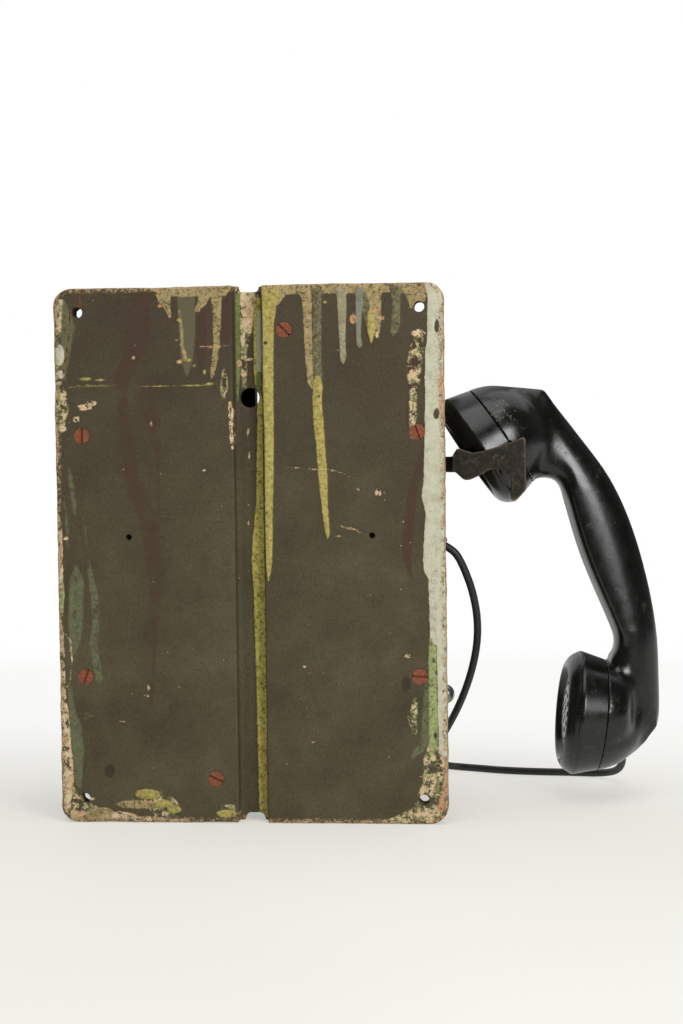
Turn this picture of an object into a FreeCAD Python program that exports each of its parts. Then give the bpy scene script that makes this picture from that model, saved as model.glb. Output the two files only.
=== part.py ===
import FreeCAD, Part
import math
import os

from FreeCAD import Vector

# Magneto wall and field telephone: a wooden case on a backboard, a fork hook on
# its left side that carries the handset, a hand crank on its right side.
# Millimetres. +Z is up, the front looks along -Y and the wall plane is Y = 0.
# The origin is the centre of the four wall holes, in the wall plane.

# ---------------------------------------------------------------- driving sizes
# Backboard
board_w = 200.0
board_h = 275.0
board_t = 12.5
board_corner_r = 9.0
board_front_bevel = 2.6
board_back_round = 1.0
wall_pitch_x = 175.0
wall_pitch_z = 250.0
wall_hole_d = 5.5
groove_w = 15.0
groove_depth = 8.0
groove_floor_r = 2.5
groove_top_notch = 3.0
groove_low_notch = 4.2
groove_low_notch_r = 3.0
cable_hole_d = 10.0
cable_hole_z = 80.5
nail_hole_d = 3.0
nail_hole_depth = 6.0
nail_hole_x = 62.5
nail_hole_z = 9.8

# Case: four boards with finger joints
case_w = 184.0
case_h = 241.0
case_depth = 91.5
case_wall = 12.0
finger_count = 9

# Wood screws that hold the case to the backboard, put in from behind
screw_inset = 6.0
side_screw_z = 62.0
end_screw_x = 19.0
screw_head_d = 8.0
screw_shank_d = 4.2
screw_length = 34.0
screw_head_h = 2.4
screw_slot_w = 1.1
screw_slot_depth = 1.0
screw_point_len = 6.0
side_screw_slots = (70.0, 90.0, 3.0, 110.0)
end_screw_slots = (45.0, 25.0)

# Front door
door_t = 11.7
door_gap = 0.3
door_edge_r = 3.0
door_field_inset = 24.0
door_field_depth = 1.6
fret_slot_w = 3.0
fret_slot_h = 44.0
fret_pitch = 9.0
fret_count = 7
fret_z = 72.0

# Hinges
hinge_z = 72.0
hinge_len = 44.0
hinge_leaf_t = 1.3
hinge_leaf_w = 13.0
knuckle_r = 2.4
hinge_pin_r = 1.2
hinge_fit = 0.05
knuckle_gap = 0.3
knuckle_clear = 0.5
knuckle_count = 5

# Door screw
door_screw_inset = 20.0
door_screw_d = 4.0
door_screw_head_d = 14.0
door_screw_head_h = 9.0
door_screw_flutes = 12
door_screw_reach = 9.0
door_screw_fit = 0.4
strike_t = 3.0
strike_overhang = 8.0
strike_foot = 14.0
strike_w = 14.0

# Hook lever and its fork
hook_y = -75.0
hook_pivot_inset = 22.0
hook_pivot_z = 44.3
hook_pin_r = 2.0
hook_fit = 0.05
hook_neck_h = 8.5
hook_neck_t = 7.0
hook_tail_len = 20.0
fork_bar_out = 10.2
fork_bar_t = 3.0
fork_bar_z = (41.0, 49.6)
fork_gap = 72.0
fork_arm_t = 3.2
fork_boss_x = (-21.8, -9.3)
fork_boss_z = (42.4, 49.8)
fork_boss_len = 5.0
fork_boss_fit = 0.4
hook_slot_h = 19.0
hook_slot_w = 11.0
escutcheon_t = 1.4

# Hook bracket and contact springs
bracket_t = 2.5
bracket_gap = 11.0
bracket_foot_w = 34.0
bracket_top_z = 66.5
bracket_ear_reach = 16.0
shelf_reach = 50.0
shelf_w = 18.0
blade_t = 0.7
blade_w = 6.0
blade_pitch = 3.4
blade_count = 4
blade_free_reach = 14.0

# Handset, in its own plane: S runs away from the case, T is up
handset_turn = 5.0
handset_out_x = 33.0
ear_centre = (2.45, 59.1)
ear_tilt = 34.0
mouth_centre = (55.15, -92.8)
mouth_tilt = 5.7
cup_r = 30.2
cup_depth = 26.5
cap_flare_r = 33.4
cap_flare_a = 12.9
cap_face_a = 21.0
cap_rim_r = 25.9
cap_wall = 2.6
cap_seam = 0.35
dish_depth = 3.2
dish_r = 23.0
ear_bulge = -1.2
mouth_bulge = 1.8
collar_r = 28.0
collar_len = 7.0
collar_fit = 0.3
capsule_r = 24.6
capsule_len = 11.0
capsule_seat = 9.0
capsule_fit = 0.4
handle_half_w = 13.0
handle_ridge_half_w = 7.5
handle_inner_inset = 4.5
handle_root = 4.0
handle_back_inset = 11.0
sound_hole_d = 3.2
sound_ring_r = (0, 5.2, 10.4, 15.6)
sound_ring_count = (1, 6, 12, 18)
ear_hole_d = 3.6
ear_ring_r = (0, 9.0)
ear_ring_count = (1, 6)

# Handset cord
cord_d = 4.2
cord_bush_y = -70.0
cord_bush_z = 2.4
cord_bush_flange_t = 1.6
cord_bush_nose = 3.6
cord_nose_r = 4.9
cord_bush_flange_r = 6.5
cord_bush_hole_r = 5.0
handset_bush_seat = 27.5
handset_bush_len = 8.5
handset_bush_r = 5.6
handset_bush_tip_r = 3.2
handset_bush_dir = (0.38, 0.69, -0.62)

# Push button
button_y = -75.0
button_z = -81.0
button_ball_r = 5.4
button_ball_out = 3.7
button_stem_r = 2.4
button_fit = 0.06
button_travel = 3.0
button_stem_inset = 22.0
button_bush_r = 8.0
button_cup_r = 6.2
button_flange_out = 1.0
button_tip_flat_r = 0.6
button_collar_gap = 0.4
button_collar_t = 2.0
button_collar_r = 4.4

# Generator
armature_y = -58.0
armature_z = -78.0
armature_r = 14.5
armature_air_gap = 0.6
armature_shaft_r = 3.0
gear_module = 1.0
gear_teeth = 60
pinion_teeth = 12
gear_t = 4.0
pinion_t = 6.0
gear_inset = 13.0
magnet_w = 14.0
magnet_gap = 1.5
magnet_count = 3
magnet_inset = 64.0
magnet_half_span = 34.0
magnet_bar_t = 10.0
generator_base_t = 4.0
end_plate_t = 2.5
shaft_fit = 0.05

# Crank
crank_shaft_r = 4.0
crank_radius = 36.0
crank_arm_t = 4.0
crank_arm_w = 11.0
crank_angle = 215.0
crank_bush_r = 8.0
crank_bush_out = 2.5
crank_wall_gap = 0.6
grip_r = 6.5
grip_len = 17.0
grip_pin_r = 2.0

# Ringer
gong_r = 27.0
gong_depth = 13.0
gong_wall = 1.6
gong_x = 31.0
gong_z = 76.0
gong_rim_y = -50.0
gong_post_r = 4.0
ringer_low = 8.0
coil_x = 13.0
coil_y = -34.0
coil_r = 10.0
coil_len = 30.0
coil_core_r = 4.0
cheek_t = 1.6
yoke_t = 4.0
clapper_ball_r = 3.0
clapper_rod_r = 1.2
clapper_plate_t = 2.5
clapper_gap = 1.2
clapper_pivot_r = 1.5

# Battery
cell_r = 16.0
cell_len = 58.0
cell_x = (-42.5, -9.3)
cell_y = -66.0
tray_t = 1.2
tray_h = 24.0
tray_fit = 0.4

# Induction coil, capacitor and terminals
induction_inset = 8.0
induction_len = 50.0
induction_y = -28.0
induction_z = -14.0
induction_r = 11.0
capacitor_size = (38.0, 20.0, 46.0)
capacitor_inset = 14.0
capacitor_z = -76.0
terminal_w = 64.0
terminal_t = 8.0
terminal_h = 12.0
terminal_count = 4
terminal_pitch = 16.0
terminal_z = 99.0

# ---------------------------------------------------------------- worked out
board_front = -board_t
case_front = board_front - case_depth
door_back = case_front - door_gap
door_front = door_back - door_t
case_x = case_w / 2
case_z = case_h / 2
inner_x = case_x - case_wall
inner_z = case_z - case_wall
side_screw_x = case_x - screw_inset
end_screw_z = case_z - screw_inset
floor_z = -board_h / 2
hook_pivot_x = hook_pivot_inset - case_x
hook_tail_x = hook_pivot_x + hook_tail_len
fork_bar_x = -case_x - fork_bar_out
shelf_end_x = hook_pivot_x + shelf_reach
blade_free_x = hook_pivot_x + blade_free_reach
handset_x = -case_x - handset_out_x
button_ball_x = -case_x - button_ball_out
button_stem_end_x = button_stem_inset - case_x
door_screw_x = case_x - door_screw_inset
gear_x = inner_x - gear_inset
magnet_x = inner_x - magnet_inset
induction_x = (induction_inset - inner_x, induction_inset - inner_x + induction_len)
capacitor_x = capacitor_inset - inner_x
gear_distance = gear_module * (gear_teeth + pinion_teeth) / 2
crank_y = armature_y
crank_z = armature_z + gear_distance

os.makedirs("parts", exist_ok=True)


# ---------------------------------------------------------------- helpers
def box(x0, x1, y0, y1, z0, z1):
    low = Vector(min(x0, x1), min(y0, y1), min(z0, z1))
    return Part.makeBox(abs(x1 - x0), abs(y1 - y0), abs(z1 - z0), low)


def rod(start, end, radius):
    """A round bar between two points."""
    a, b = Vector(*start), Vector(*end)
    return Part.makeCylinder(radius, (b - a).Length, a, b - a)


def outline(start, steps, place):
    """A closed face. A step is a point (line), a pair (arc: via, end) or a list (smooth curve)."""
    edges = []
    here = start
    for step in list(steps) + [start]:
        if isinstance(step, list):
            curve = Part.BSplineCurve()
            curve.interpolate([place(*p) for p in [here] + step])
            edges.append(curve.toShape())
            here = step[-1]
        elif isinstance(step[0], tuple):
            edges.append(Part.Arc(place(*here), place(*step[0]), place(*step[1])).toShape())
            here = step[1]
        else:
            if (place(*here) - place(*step)).Length > 1e-6:
                edges.append(Part.LineSegment(place(*here), place(*step)).toShape())
            here = step
    return Part.Wire(edges)


def shift_step(step, along):
    """An outline step moved along its first axis."""
    if isinstance(step[0], tuple):
        return tuple((a + along, b) for a, b in step)
    return (step[0] + along, step[1])


def plate_xz(start, steps, y0, y1):
    """A plate whose outline lies in the XZ plane, from y0 to y1."""
    wire = outline(start, steps, lambda x, z: Vector(x, y0, z))
    return Part.Face(wire).extrude(Vector(0, y1 - y0, 0))


def plate_yz(start, steps, x0, x1):
    """A plate whose outline lies in the YZ plane, from x0 to x1."""
    wire = outline(start, steps, lambda y, z: Vector(x0, y, z))
    return Part.Face(wire).extrude(Vector(x1 - x0, 0, 0))


def turned(start, steps, origin, direction):
    """A turned solid: its half section holds (along, radius) points."""
    wire = outline(start, steps, lambda a, r: Vector(r, 0, a))
    solid = Part.Face(wire).revolve(Vector(0, 0, 0), Vector(0, 0, 1), 360)
    turn = FreeCAD.Rotation(Vector(0, 0, 1), Vector(*direction))
    solid.Placement = FreeCAD.Placement(Vector(*origin), turn)
    return solid


def edges_along(shape, axis, test):
    """The straight edges of a shape that run along an axis and pass a test on their middle."""
    found = []
    for edge in shape.Edges:
        if isinstance(edge.Curve, Part.Line):
            direction = edge.Curve.Direction
            if abs(direction.dot(Vector(*axis))) > 0.999 and test(edge.CenterOfMass):
                found.append(edge)
    return found


def fuse(*shapes):
    solid = shapes[0]
    for other in shapes[1:]:
        solid = solid.fuse(other)
    return solid.removeSplitter()


def save(name, *shapes):
    """Writes one node: one solid, or a group of separate solids."""
    solids = [solid for shape in shapes for solid in shape.Solids]
    shape = solids[0] if len(solids) == 1 else Part.makeCompound(solids)
    shape.exportStep("parts/" + name + ".step")
    print("%-24s %2d solid(s) %10.1f mm3 valid %s" % (name, len(solids), shape.Volume, shape.isValid()))
    return shape


# ---------------------------------------------------------------- wood screws
def wood_screw(x, z, slot_angle):
    """A slotted countersunk screw from behind, its head flush with the backboard."""
    head_r, shank_r = screw_head_d / 2, screw_shank_d / 2
    steps = [
        (0, head_r),
        (0.4, head_r),
        (screw_head_h, shank_r),
        (screw_length - screw_point_len, shank_r),
        (screw_length, 0),
    ]
    solid = turned((0, 0), steps, (x, 0, z), (0, -1, 0))
    slot = box(-head_r - 1, head_r + 1, -screw_slot_depth, 1, -screw_slot_w / 2, screw_slot_w / 2)
    slot.rotate(Vector(0, 0, 0), Vector(0, 1, 0), -slot_angle)
    slot.translate(Vector(x, 0, z))
    return solid, solid.cut(slot)


side_places = ((-1, 1), (1, 1), (-1, -1), (1, -1))
screw_places = [
    (sx * side_screw_x, sz * side_screw_z, slot)
    for (sx, sz), slot in zip(side_places, side_screw_slots)
] + [
    (-end_screw_x, end_screw_z, end_screw_slots[0]),
    (end_screw_x, -end_screw_z, end_screw_slots[1]),
]
screw_blanks, screws = zip(*[wood_screw(*place) for place in screw_places])
save("case_screws", *screws)


# ---------------------------------------------------------------- backboard
def backboard():
    half_w, half_h = board_w / 2, board_h / 2
    board = box(-half_w, half_w, board_front, 0, -half_h, half_h)
    board = board.makeFillet(board_corner_r, edges_along(board, (0, 1, 0), lambda c: True))
    front_rim = [e for e in board.Edges if abs(e.CenterOfMass.y - board_front) < 1e-6]
    board = board.makeChamfer(board_front_bevel, front_rim)
    back_rim = [e for e in board.Edges if abs(e.CenterOfMass.y) < 1e-6]
    board = board.makeFillet(board_back_round, back_rim)
    groove = box(-groove_w / 2, groove_w / 2, -groove_depth, 5, -half_h - 5, half_h + 5)
    floor_edges = edges_along(groove, (0, 0, 1), lambda c: abs(c.y + groove_depth) < 1e-6)
    board = board.cut(groove.makeFillet(groove_floor_r, floor_edges))
    half_groove = groove_w / 2 - groove_floor_r
    top_notch = box(
        -half_groove, half_groove, board_front - 1, 0, half_h - groove_top_notch, half_h + 1
    )
    low_notch = box(
        -half_groove, half_groove, board_front - 1, 0, -half_h - 5, groove_low_notch - half_h
    )
    arch_edges = edges_along(low_notch, (0, 1, 0), lambda c: c.z > -half_h)
    board = board.cut(top_notch).cut(low_notch.makeFillet(groove_low_notch_r, arch_edges))
    for sx, sz in side_places:
        x, z = sx * wall_pitch_x / 2, sz * wall_pitch_z / 2
        board = board.cut(rod((x, 1, z), (x, board_front - 1, z), wall_hole_d / 2))
    board = board.cut(
        rod((0, 0, cable_hole_z), (0, board_front - 1, cable_hole_z), cable_hole_d / 2)
    )
    for x in (-nail_hole_x, nail_hole_x):
        board = board.cut(rod((x, 1, nail_hole_z), (x, -nail_hole_depth, nail_hole_z), nail_hole_d / 2))
    for blank in screw_blanks:
        board = board.cut(blank)
    return board


save("backboard", backboard())


# ---------------------------------------------------------------- case boards
def finger_slots(sign_x, sign_z, first):
    """Every second finger of one corner, from finger number first."""
    pitch = case_depth / finger_count
    slots = []
    for i in range(first, finger_count, 2):
        y = board_front - i * pitch
        slots.append(
            box(sign_x * inner_x, sign_x * case_x, y, y - pitch, sign_z * inner_z, sign_z * case_z)
        )
    return slots


def cut_all(solid, tools):
    for tool in tools:
        solid = solid.cut(tool)
    return solid


def case_side(sign_x):
    side = box(sign_x * inner_x, sign_x * case_x, board_front, case_front, -case_z, case_z)
    side = cut_all(side, finger_slots(sign_x, 1, 1) + finger_slots(sign_x, -1, 1))
    return cut_all(side, screw_blanks)


def case_end(sign_z):
    end = box(-case_x, case_x, board_front, case_front, sign_z * inner_z, sign_z * case_z)
    end = cut_all(end, finger_slots(1, sign_z, 0) + finger_slots(-1, sign_z, 0))
    return cut_all(end, screw_blanks)


slot_low = hook_pivot_z - hook_neck_h / 2 - 1.5
hook_slot = box(
    -case_x - 5, -inner_x + 5, hook_y - hook_slot_w / 2, hook_y + hook_slot_w / 2,
    slot_low, slot_low + hook_slot_h,
)
left_side = case_side(-1).cut(hook_slot)
left_side = left_side.cut(
    rod((-case_x - 5, cord_bush_y, cord_bush_z), (0, cord_bush_y, cord_bush_z), cord_bush_hole_r)
)
left_side = left_side.cut(
    rod((-case_x - 5, button_y, button_z), (0, button_y, button_z), button_bush_r)
)
right_side = case_side(1).cut(
    rod((0, crank_y, crank_z), (case_x + 5, crank_y, crank_z), crank_bush_r)
)
save("case_side_left", left_side)
save("case_side_right", right_side)
save("case_top", case_end(1))
save("case_bottom", case_end(-1))


# ---------------------------------------------------------------- door and hinges
def front_door():
    door = box(-case_x, case_x, door_back, door_front, -case_z, case_z)
    rim = [e for e in door.Edges if abs(e.CenterOfMass.y - door_front) < 1e-6]
    door = door.makeFillet(door_edge_r, rim)
    field_x, field_z = case_x - door_field_inset, case_z - door_field_inset
    field = box(
        -field_x, field_x, door_front - 1, door_front + door_field_depth, -field_z, field_z
    )
    door = door.cut(field)
    for i in range(fret_count):
        x = (i - (fret_count - 1) / 2) * fret_pitch
        slot = box(
            x - fret_slot_w / 2, x + fret_slot_w / 2, door_back + 1, door_front - 1,
            fret_z - fret_slot_h / 2, fret_z + fret_slot_h / 2,
        )
        door = door.cut(slot)
    hole = rod(
        (-door_screw_x, door_back + 1, 0), (-door_screw_x, door_front - 1, 0),
        door_screw_d / 2 + shaft_fit,
    )
    return door.cut(hole)


hinge_axis_x = case_x + knuckle_r + knuckle_clear
hinge_axis_y = case_front - door_gap / 2


def knuckles(z_mid, first):
    """Every second knuckle of one hinge, bored for the pin."""
    pitch = hinge_len / knuckle_count
    rings = []
    for i in range(first, knuckle_count, 2):
        low = z_mid - hinge_len / 2 + i * pitch + knuckle_gap / 2
        high = low + pitch - knuckle_gap
        ring = rod((hinge_axis_x, hinge_axis_y, low), (hinge_axis_x, hinge_axis_y, high), knuckle_r)
        bore = rod(
            (hinge_axis_x, hinge_axis_y, low - 1), (hinge_axis_x, hinge_axis_y, high + 1),
            hinge_pin_r + hinge_fit,
        )
        rings.append((ring, bore, low, high))
    return rings


def hinge_leaf(z_mid, first, y_edge, y_far):
    """One leaf on the outside of the case or door, with its knuckles."""
    leaf = box(
        case_x, case_x + hinge_leaf_t, y_edge, y_far, z_mid - hinge_len / 2, z_mid + hinge_len / 2
    )
    for ring, bore, low, high in knuckles(z_mid, first):
        neck = box(case_x, case_x + hinge_leaf_t, hinge_axis_y, y_edge, low, high)
        leaf = leaf.fuse(ring).fuse(neck)
    for other, bore, low, high in knuckles(z_mid, 1 - first):
        clear = rod(
            (hinge_axis_x, hinge_axis_y, low - knuckle_gap),
            (hinge_axis_x, hinge_axis_y, high + knuckle_gap),
            knuckle_r + knuckle_gap,
        )
        leaf = leaf.cut(clear)
    for ring, bore, low, high in knuckles(z_mid, first):
        leaf = leaf.cut(bore)
    return leaf.removeSplitter()


fixed_leaves = []
moving_leaves = []
hinge_pins = []
for z_mid in (-hinge_z, hinge_z):
    fixed_leaves.append(hinge_leaf(z_mid, 0, case_front + 0.4, case_front + hinge_leaf_w))
    moving_leaves.append(hinge_leaf(z_mid, 1, door_back - 0.4, door_front + 1.5))
    hinge_pins.append(
        rod(
            (hinge_axis_x, hinge_axis_y, z_mid - hinge_len / 2),
            (hinge_axis_x, hinge_axis_y, z_mid + hinge_len / 2),
            hinge_pin_r,
        )
    )
save("front_door", front_door())
save("hinge_leaves_case", *fixed_leaves)
save("hinge_leaves_door", *moving_leaves)
save("hinge_pins", *hinge_pins)


# ---------------------------------------------------------------- door screw and its strike
def door_screw():
    """A captive screw with a fluted head."""
    head_r, shank_r = door_screw_head_d / 2, door_screw_d / 2
    steps = [
        (0, head_r - 1),
        (1, head_r),
        (door_screw_head_h - 2, head_r),
        ((door_screw_head_h - 0.6, head_r - 0.6), (door_screw_head_h, head_r - 2)),
        (door_screw_head_h, 0),
    ]
    seat = door_front - 0.3
    head = turned((0, 0), steps, (-door_screw_x, seat, 0), (0, -1, 0))
    for i in range(door_screw_flutes):
        angle = 2 * math.pi * i / door_screw_flutes
        x = -door_screw_x + (head_r + 0.5) * math.cos(angle)
        z = (head_r + 0.5) * math.sin(angle)
        head = head.cut(rod((x, seat - 2, z), (x, seat - door_screw_head_h - 1, z), 1.1))
    shank = rod((-door_screw_x, seat, 0), (-door_screw_x, case_front + door_screw_reach, 0), shank_r)
    return head.fuse(shank)


strike_y = case_front + door_screw_reach - 2
strike_end_x = -door_screw_x + strike_overhang
strike = box(-inner_x, strike_end_x, strike_y, strike_y - strike_t, -strike_w / 2, strike_w / 2)
strike = strike.fuse(
    box(-inner_x, -inner_x + strike_t, strike_y + strike_foot, strike_y, -strike_w / 2, strike_w / 2)
)
strike = strike.cut(
    rod((-door_screw_x, strike_y + 1, 0), (-door_screw_x, strike_y - strike_t - 1, 0),
        door_screw_d / 2 + door_screw_fit)
)
save("door_screw", door_screw())
save("door_strike", strike.removeSplitter())


# ---------------------------------------------------------------- handset
def in_plane(point, depth=0.0):
    """A point (S, T) of the handset's plane, at a distance behind it."""
    return Vector(point[0], depth, point[1])


handset_place = FreeCAD.Placement(
    Vector(handset_x, hook_y, 0),
    FreeCAD.Rotation(Vector(0, 0, 1), 180 + handset_turn),
)
ear_axis = (-math.cos(math.radians(ear_tilt)), 0, -math.sin(math.radians(ear_tilt)))
mouth_axis = (-math.cos(math.radians(mouth_tilt)), 0, math.sin(math.radians(mouth_tilt)))


def placed(shape):
    shape = shape.copy()
    shape.Placement = handset_place.multiply(shape.Placement)
    return shape


def cup(centre, axis):
    """The round back of an earpiece or mouthpiece, with the collar its cap goes over."""
    steps = [
        (collar_len, 0),
        (collar_len, collar_r),
        (0, collar_r),
        (0, cup_r),
        ((-cup_depth * 0.63, cup_r * 0.71), (-cup_depth, 0)),
    ]
    return turned((0, 0), steps, (centre[0], 0, centre[1]), axis)


def capsule_pocket(centre, axis):
    pocket_r = capsule_r + capsule_fit
    mouth = collar_len + 1
    steps = [(mouth, 0), (mouth, pocket_r), (-capsule_seat, pocket_r), (-capsule_seat, 0)]
    return turned((0, 0), steps, (centre[0], 0, centre[1]), axis)


# The side view of the handle: its back from the ear corner to the mouth corner,
# and its inner line back up. Each entry is a place and how it is drawn.
ear_top = (0.5, 86.6)
ear_corner = (25.3, 84.0)
back_bend = (58.5, 40.5)
back_curve = [(71.1, 14.8), (80.4, -16.0), (85.6, -43.0), (87.0, -60.0)]
mouth_corner = (87.6, -98.5)
mouth_low = (70.5, -115.5)
mouth_inner = (60.5, -60.5)
throat_curve = [(63.6, -54.0), (61.6, -45.8)]
inner_curve = [(57.7, -36.4), (50.8, -20.5), (44.4, -4.1), (39.1, 13.4), (35.2, 28.5)]
neck_curve = [(32.6, 34.6), (27.0, 36.9)]
neck_end = (20.5, 36.2)
ear_root = tuple(ear_centre[k] - handle_root * ear_axis[2 * k] for k in range(2))
mouth_root = tuple(mouth_centre[k] - handle_root * mouth_axis[2 * k] for k in range(2))


def handle_wire(depth, back, inner):
    """The handle's outline at one depth, with its back and inner lines drawn in."""
    def shifted(point, along, away):
        return (point[0] + along, point[1] + away)

    ear_top_in = shifted(ear_top, back * 0.3, -back)
    ear_corner_in = shifted(ear_corner, -back * 0.35, -back * 1.05)
    bend_in = shifted(back_bend, -back * 0.84, -back * 0.54)
    curve_in = [shifted(p, -back * 0.98, -back * 0.2) for p in back_curve]
    mouth_corner_in = shifted(mouth_corner, -back, back * 0.45)
    mouth_low_in = shifted(mouth_low, -back * 0.65, back * 0.7)
    mouth_inner_in = shifted(mouth_inner, inner * 0.8, -inner * 0.6)
    throat_in = [shifted(p, inner, 0) for p in throat_curve]
    inner_in = [shifted(p, inner * 0.95, inner * 0.3) for p in inner_curve]
    neck_in = [shifted(neck_curve[0], inner * 0.75, inner * 0.65), shifted(neck_curve[1], 0, inner)]
    neck_end_in = shifted(neck_end, 0, inner)
    steps = [
        ear_corner_in,
        bend_in,
        curve_in,
        mouth_corner_in,
        mouth_low_in,
        mouth_root,
        mouth_inner_in,
        throat_in,
        inner_in,
        neck_in,
        neck_end_in,
        ear_root,
    ]
    return outline(ear_top_in, steps, lambda s, t: in_plane((s, t), depth))


def handle():
    """The bar of the handset: full outline in the middle, drawn in towards both flat sides."""
    wires = [
        handle_wire(-handle_half_w, handle_back_inset, handle_inner_inset),
        handle_wire(-handle_ridge_half_w, 0, 0),
        handle_wire(handle_ridge_half_w, 0, 0),
        handle_wire(handle_half_w, handle_back_inset, handle_inner_inset),
    ]
    return Part.makeLoft(wires, True, True)


def handset_body():
    body = handle()
    for centre, axis in ((ear_centre, ear_axis), (mouth_centre, mouth_axis)):
        body = body.fuse(cup(centre, axis))
    for centre, axis in ((ear_centre, ear_axis), (mouth_centre, mouth_axis)):
        body = body.cut(capsule_pocket(centre, axis))
    return body


def cap(centre, axis, holes, bulge):
    """A screwed cap: flared skirt, rounded rim and a sunk face, domed by bulge, with sound holes."""
    inner_a = cap_face_a - dish_depth - cap_wall
    steps = [
        (cap_seam, cup_r),
        (cap_flare_a - 1.0, cap_flare_r - 0.15),
        ((cap_flare_a + 0.6, cap_flare_r), (cap_flare_a + 2.2, cap_flare_r - 0.8)),
        ((cap_face_a - 1.6, cap_rim_r + 3.4), (cap_face_a, cap_rim_r)),
        ((cap_face_a - 0.4, cap_rim_r - 1.0), (cap_face_a - 1.2, cap_rim_r - 1.7)),
        (cap_face_a - dish_depth, dish_r),
        ((cap_face_a - dish_depth + bulge * 0.75, dish_r / 2), (cap_face_a - dish_depth + bulge, 0)),
        (cap_face_a - dish_depth + bulge - cap_wall, 0),
        ((inner_a + bulge * 0.72, dish_r / 2), (inner_a, dish_r)),
        (inner_a, collar_r + collar_fit - 1.5),
        (inner_a - 1.5, collar_r + collar_fit),
        (cap_seam, collar_r + collar_fit),
    ]
    solid = turned(steps[0], steps[1:], (0, 0, 0), (0, 0, 1))
    for radius, count, hole_d in holes:
        for i in range(count):
            angle = 2 * math.pi * i / count
            x, y = radius * math.cos(angle), radius * math.sin(angle)
            solid = solid.cut(rod((x, y, 0), (x, y, cap_face_a + 1), hole_d / 2))
    turn = FreeCAD.Rotation(Vector(0, 0, 1), Vector(*axis))
    solid.Placement = FreeCAD.Placement(Vector(centre[0], 0, centre[1]), turn)
    return solid


def capsule(centre, axis):
    """A sealed sound capsule: a stepped tin with a shallow dome."""
    back = -capsule_seat + 0.3
    steps = [
        (back, capsule_r - 4),
        (back + 3, capsule_r - 3),
        (back + 3, capsule_r),
        (back + capsule_len, capsule_r),
        (back + capsule_len, capsule_r - 3),
        ((back + capsule_len + 1.1, (capsule_r - 3) / 2), (back + capsule_len + 1.5, 2)),
        (back + capsule_len + 1.5, 0),
    ]
    return turned((back, 0), steps, (centre[0], 0, centre[1]), axis)


def rings(radii, counts, hole_d):
    """Rings of holes: each a radius, a count of holes and their diameter."""
    return [(radius, count, hole_d) for radius, count in zip(radii, counts)]


ear_holes = rings(ear_ring_r, ear_ring_count, ear_hole_d)
mouth_holes = rings(sound_ring_r, sound_ring_count, sound_hole_d)
bush_axis = Vector(*handset_bush_dir)
bush_start = in_plane(mouth_centre) + bush_axis * handset_bush_seat
bush_end = bush_start + bush_axis * handset_bush_len


def handset_cord_bush():
    """The tapered rubber sleeve where the cord leaves the mouthpiece's back."""
    steps = [
        (0, handset_bush_r),
        (3.6, handset_bush_r - 0.4),
        (handset_bush_len, handset_bush_tip_r),
        (handset_bush_len, 0),
    ]
    return turned((0, 0), steps, bush_start, tuple(bush_axis))


body = handset_body().cut(handset_cord_bush())
save("handset_body", placed(body))
save("receiver_cap", placed(cap(ear_centre, ear_axis, ear_holes, ear_bulge)))
save("transmitter_cap", placed(cap(mouth_centre, mouth_axis, mouth_holes, mouth_bulge)))
save("receiver_capsule", placed(capsule(ear_centre, ear_axis)))
save("transmitter_capsule", placed(capsule(mouth_centre, mouth_axis)))
save("handset_cord_bush", placed(handset_cord_bush()))


# ---------------------------------------------------------------- hook
def fork_arm(y0, y1):
    """One arm of the fork: it rises to a pointed corner and ends in a downward prong."""
    steps = [
        (-1.4, 41.0),
        (-6.1, 36.6),
        (-9.3, 36.6),
        (-16.5, 39.8),
        ((-24.8, 41.9), (-30.2, 37.7)),
        ((-30.9, 32.5), (-30.3, 27.4)),
        (-31.3, 24.9),
        (-35.0, 27.3),
        (-38.6, 31.1),
        (-38.6, 56.5),
        ((-38.0, 58.2), (-36.6, 58.7)),
        ((-22.8, 53.6), (-10.8, 50.9)),
        (-4.0, 53.1),
        ((-2.2, 52.9), (-1.6, 51.4)),
        (0, fork_bar_z[1]),
    ]
    out = [shift_step(step, fork_bar_x) for step in steps]
    return plate_xz((fork_bar_x, fork_bar_z[0]), out, y0, y1)


def hook():
    half = fork_gap / 2
    arms = [
        fork_arm(hook_y + half, hook_y + half + fork_arm_t),
        fork_arm(hook_y - half - fork_arm_t, hook_y - half),
    ]
    bar = box(
        fork_bar_x - fork_bar_t, fork_bar_x,
        hook_y - half - fork_arm_t, hook_y + half + fork_arm_t, *fork_bar_z
    )
    neck = box(
        fork_bar_x - fork_bar_t / 2, hook_tail_x,
        hook_y - hook_neck_t / 2, hook_y + hook_neck_t / 2,
        hook_pivot_z - hook_neck_h / 2, hook_pivot_z + hook_neck_h / 2,
    )
    eye = rod(
        (hook_pivot_x, hook_y - hook_neck_t / 2, hook_pivot_z),
        (hook_pivot_x, hook_y + hook_neck_t / 2, hook_pivot_z),
        hook_neck_h / 2 + 1.2,
    )
    bosses = []
    for side in (-1, 1):
        boss = box(
            fork_bar_x + fork_boss_x[0], fork_bar_x + fork_boss_x[1],
            hook_y + side * half, hook_y + side * (half - fork_boss_len), *fork_boss_z
        )
        bosses.append(boss)
    solid = arms[0]
    for other in [arms[1], bar, neck, eye] + bosses:
        solid = solid.fuse(other)
    seat_r = cap_flare_r + fork_boss_fit
    seat = turned(
        (-cup_depth, 0),
        [(-cup_depth, seat_r), (cap_face_a, seat_r), (cap_face_a, 0)],
        (ear_centre[0], 0, ear_centre[1]),
        ear_axis,
    )
    solid = solid.cut(placed(seat))
    bore = rod(
        (hook_pivot_x, hook_y - 10, hook_pivot_z), (hook_pivot_x, hook_y + 10, hook_pivot_z),
        hook_pin_r + hook_fit,
    )
    return solid.cut(bore).removeSplitter()


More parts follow.
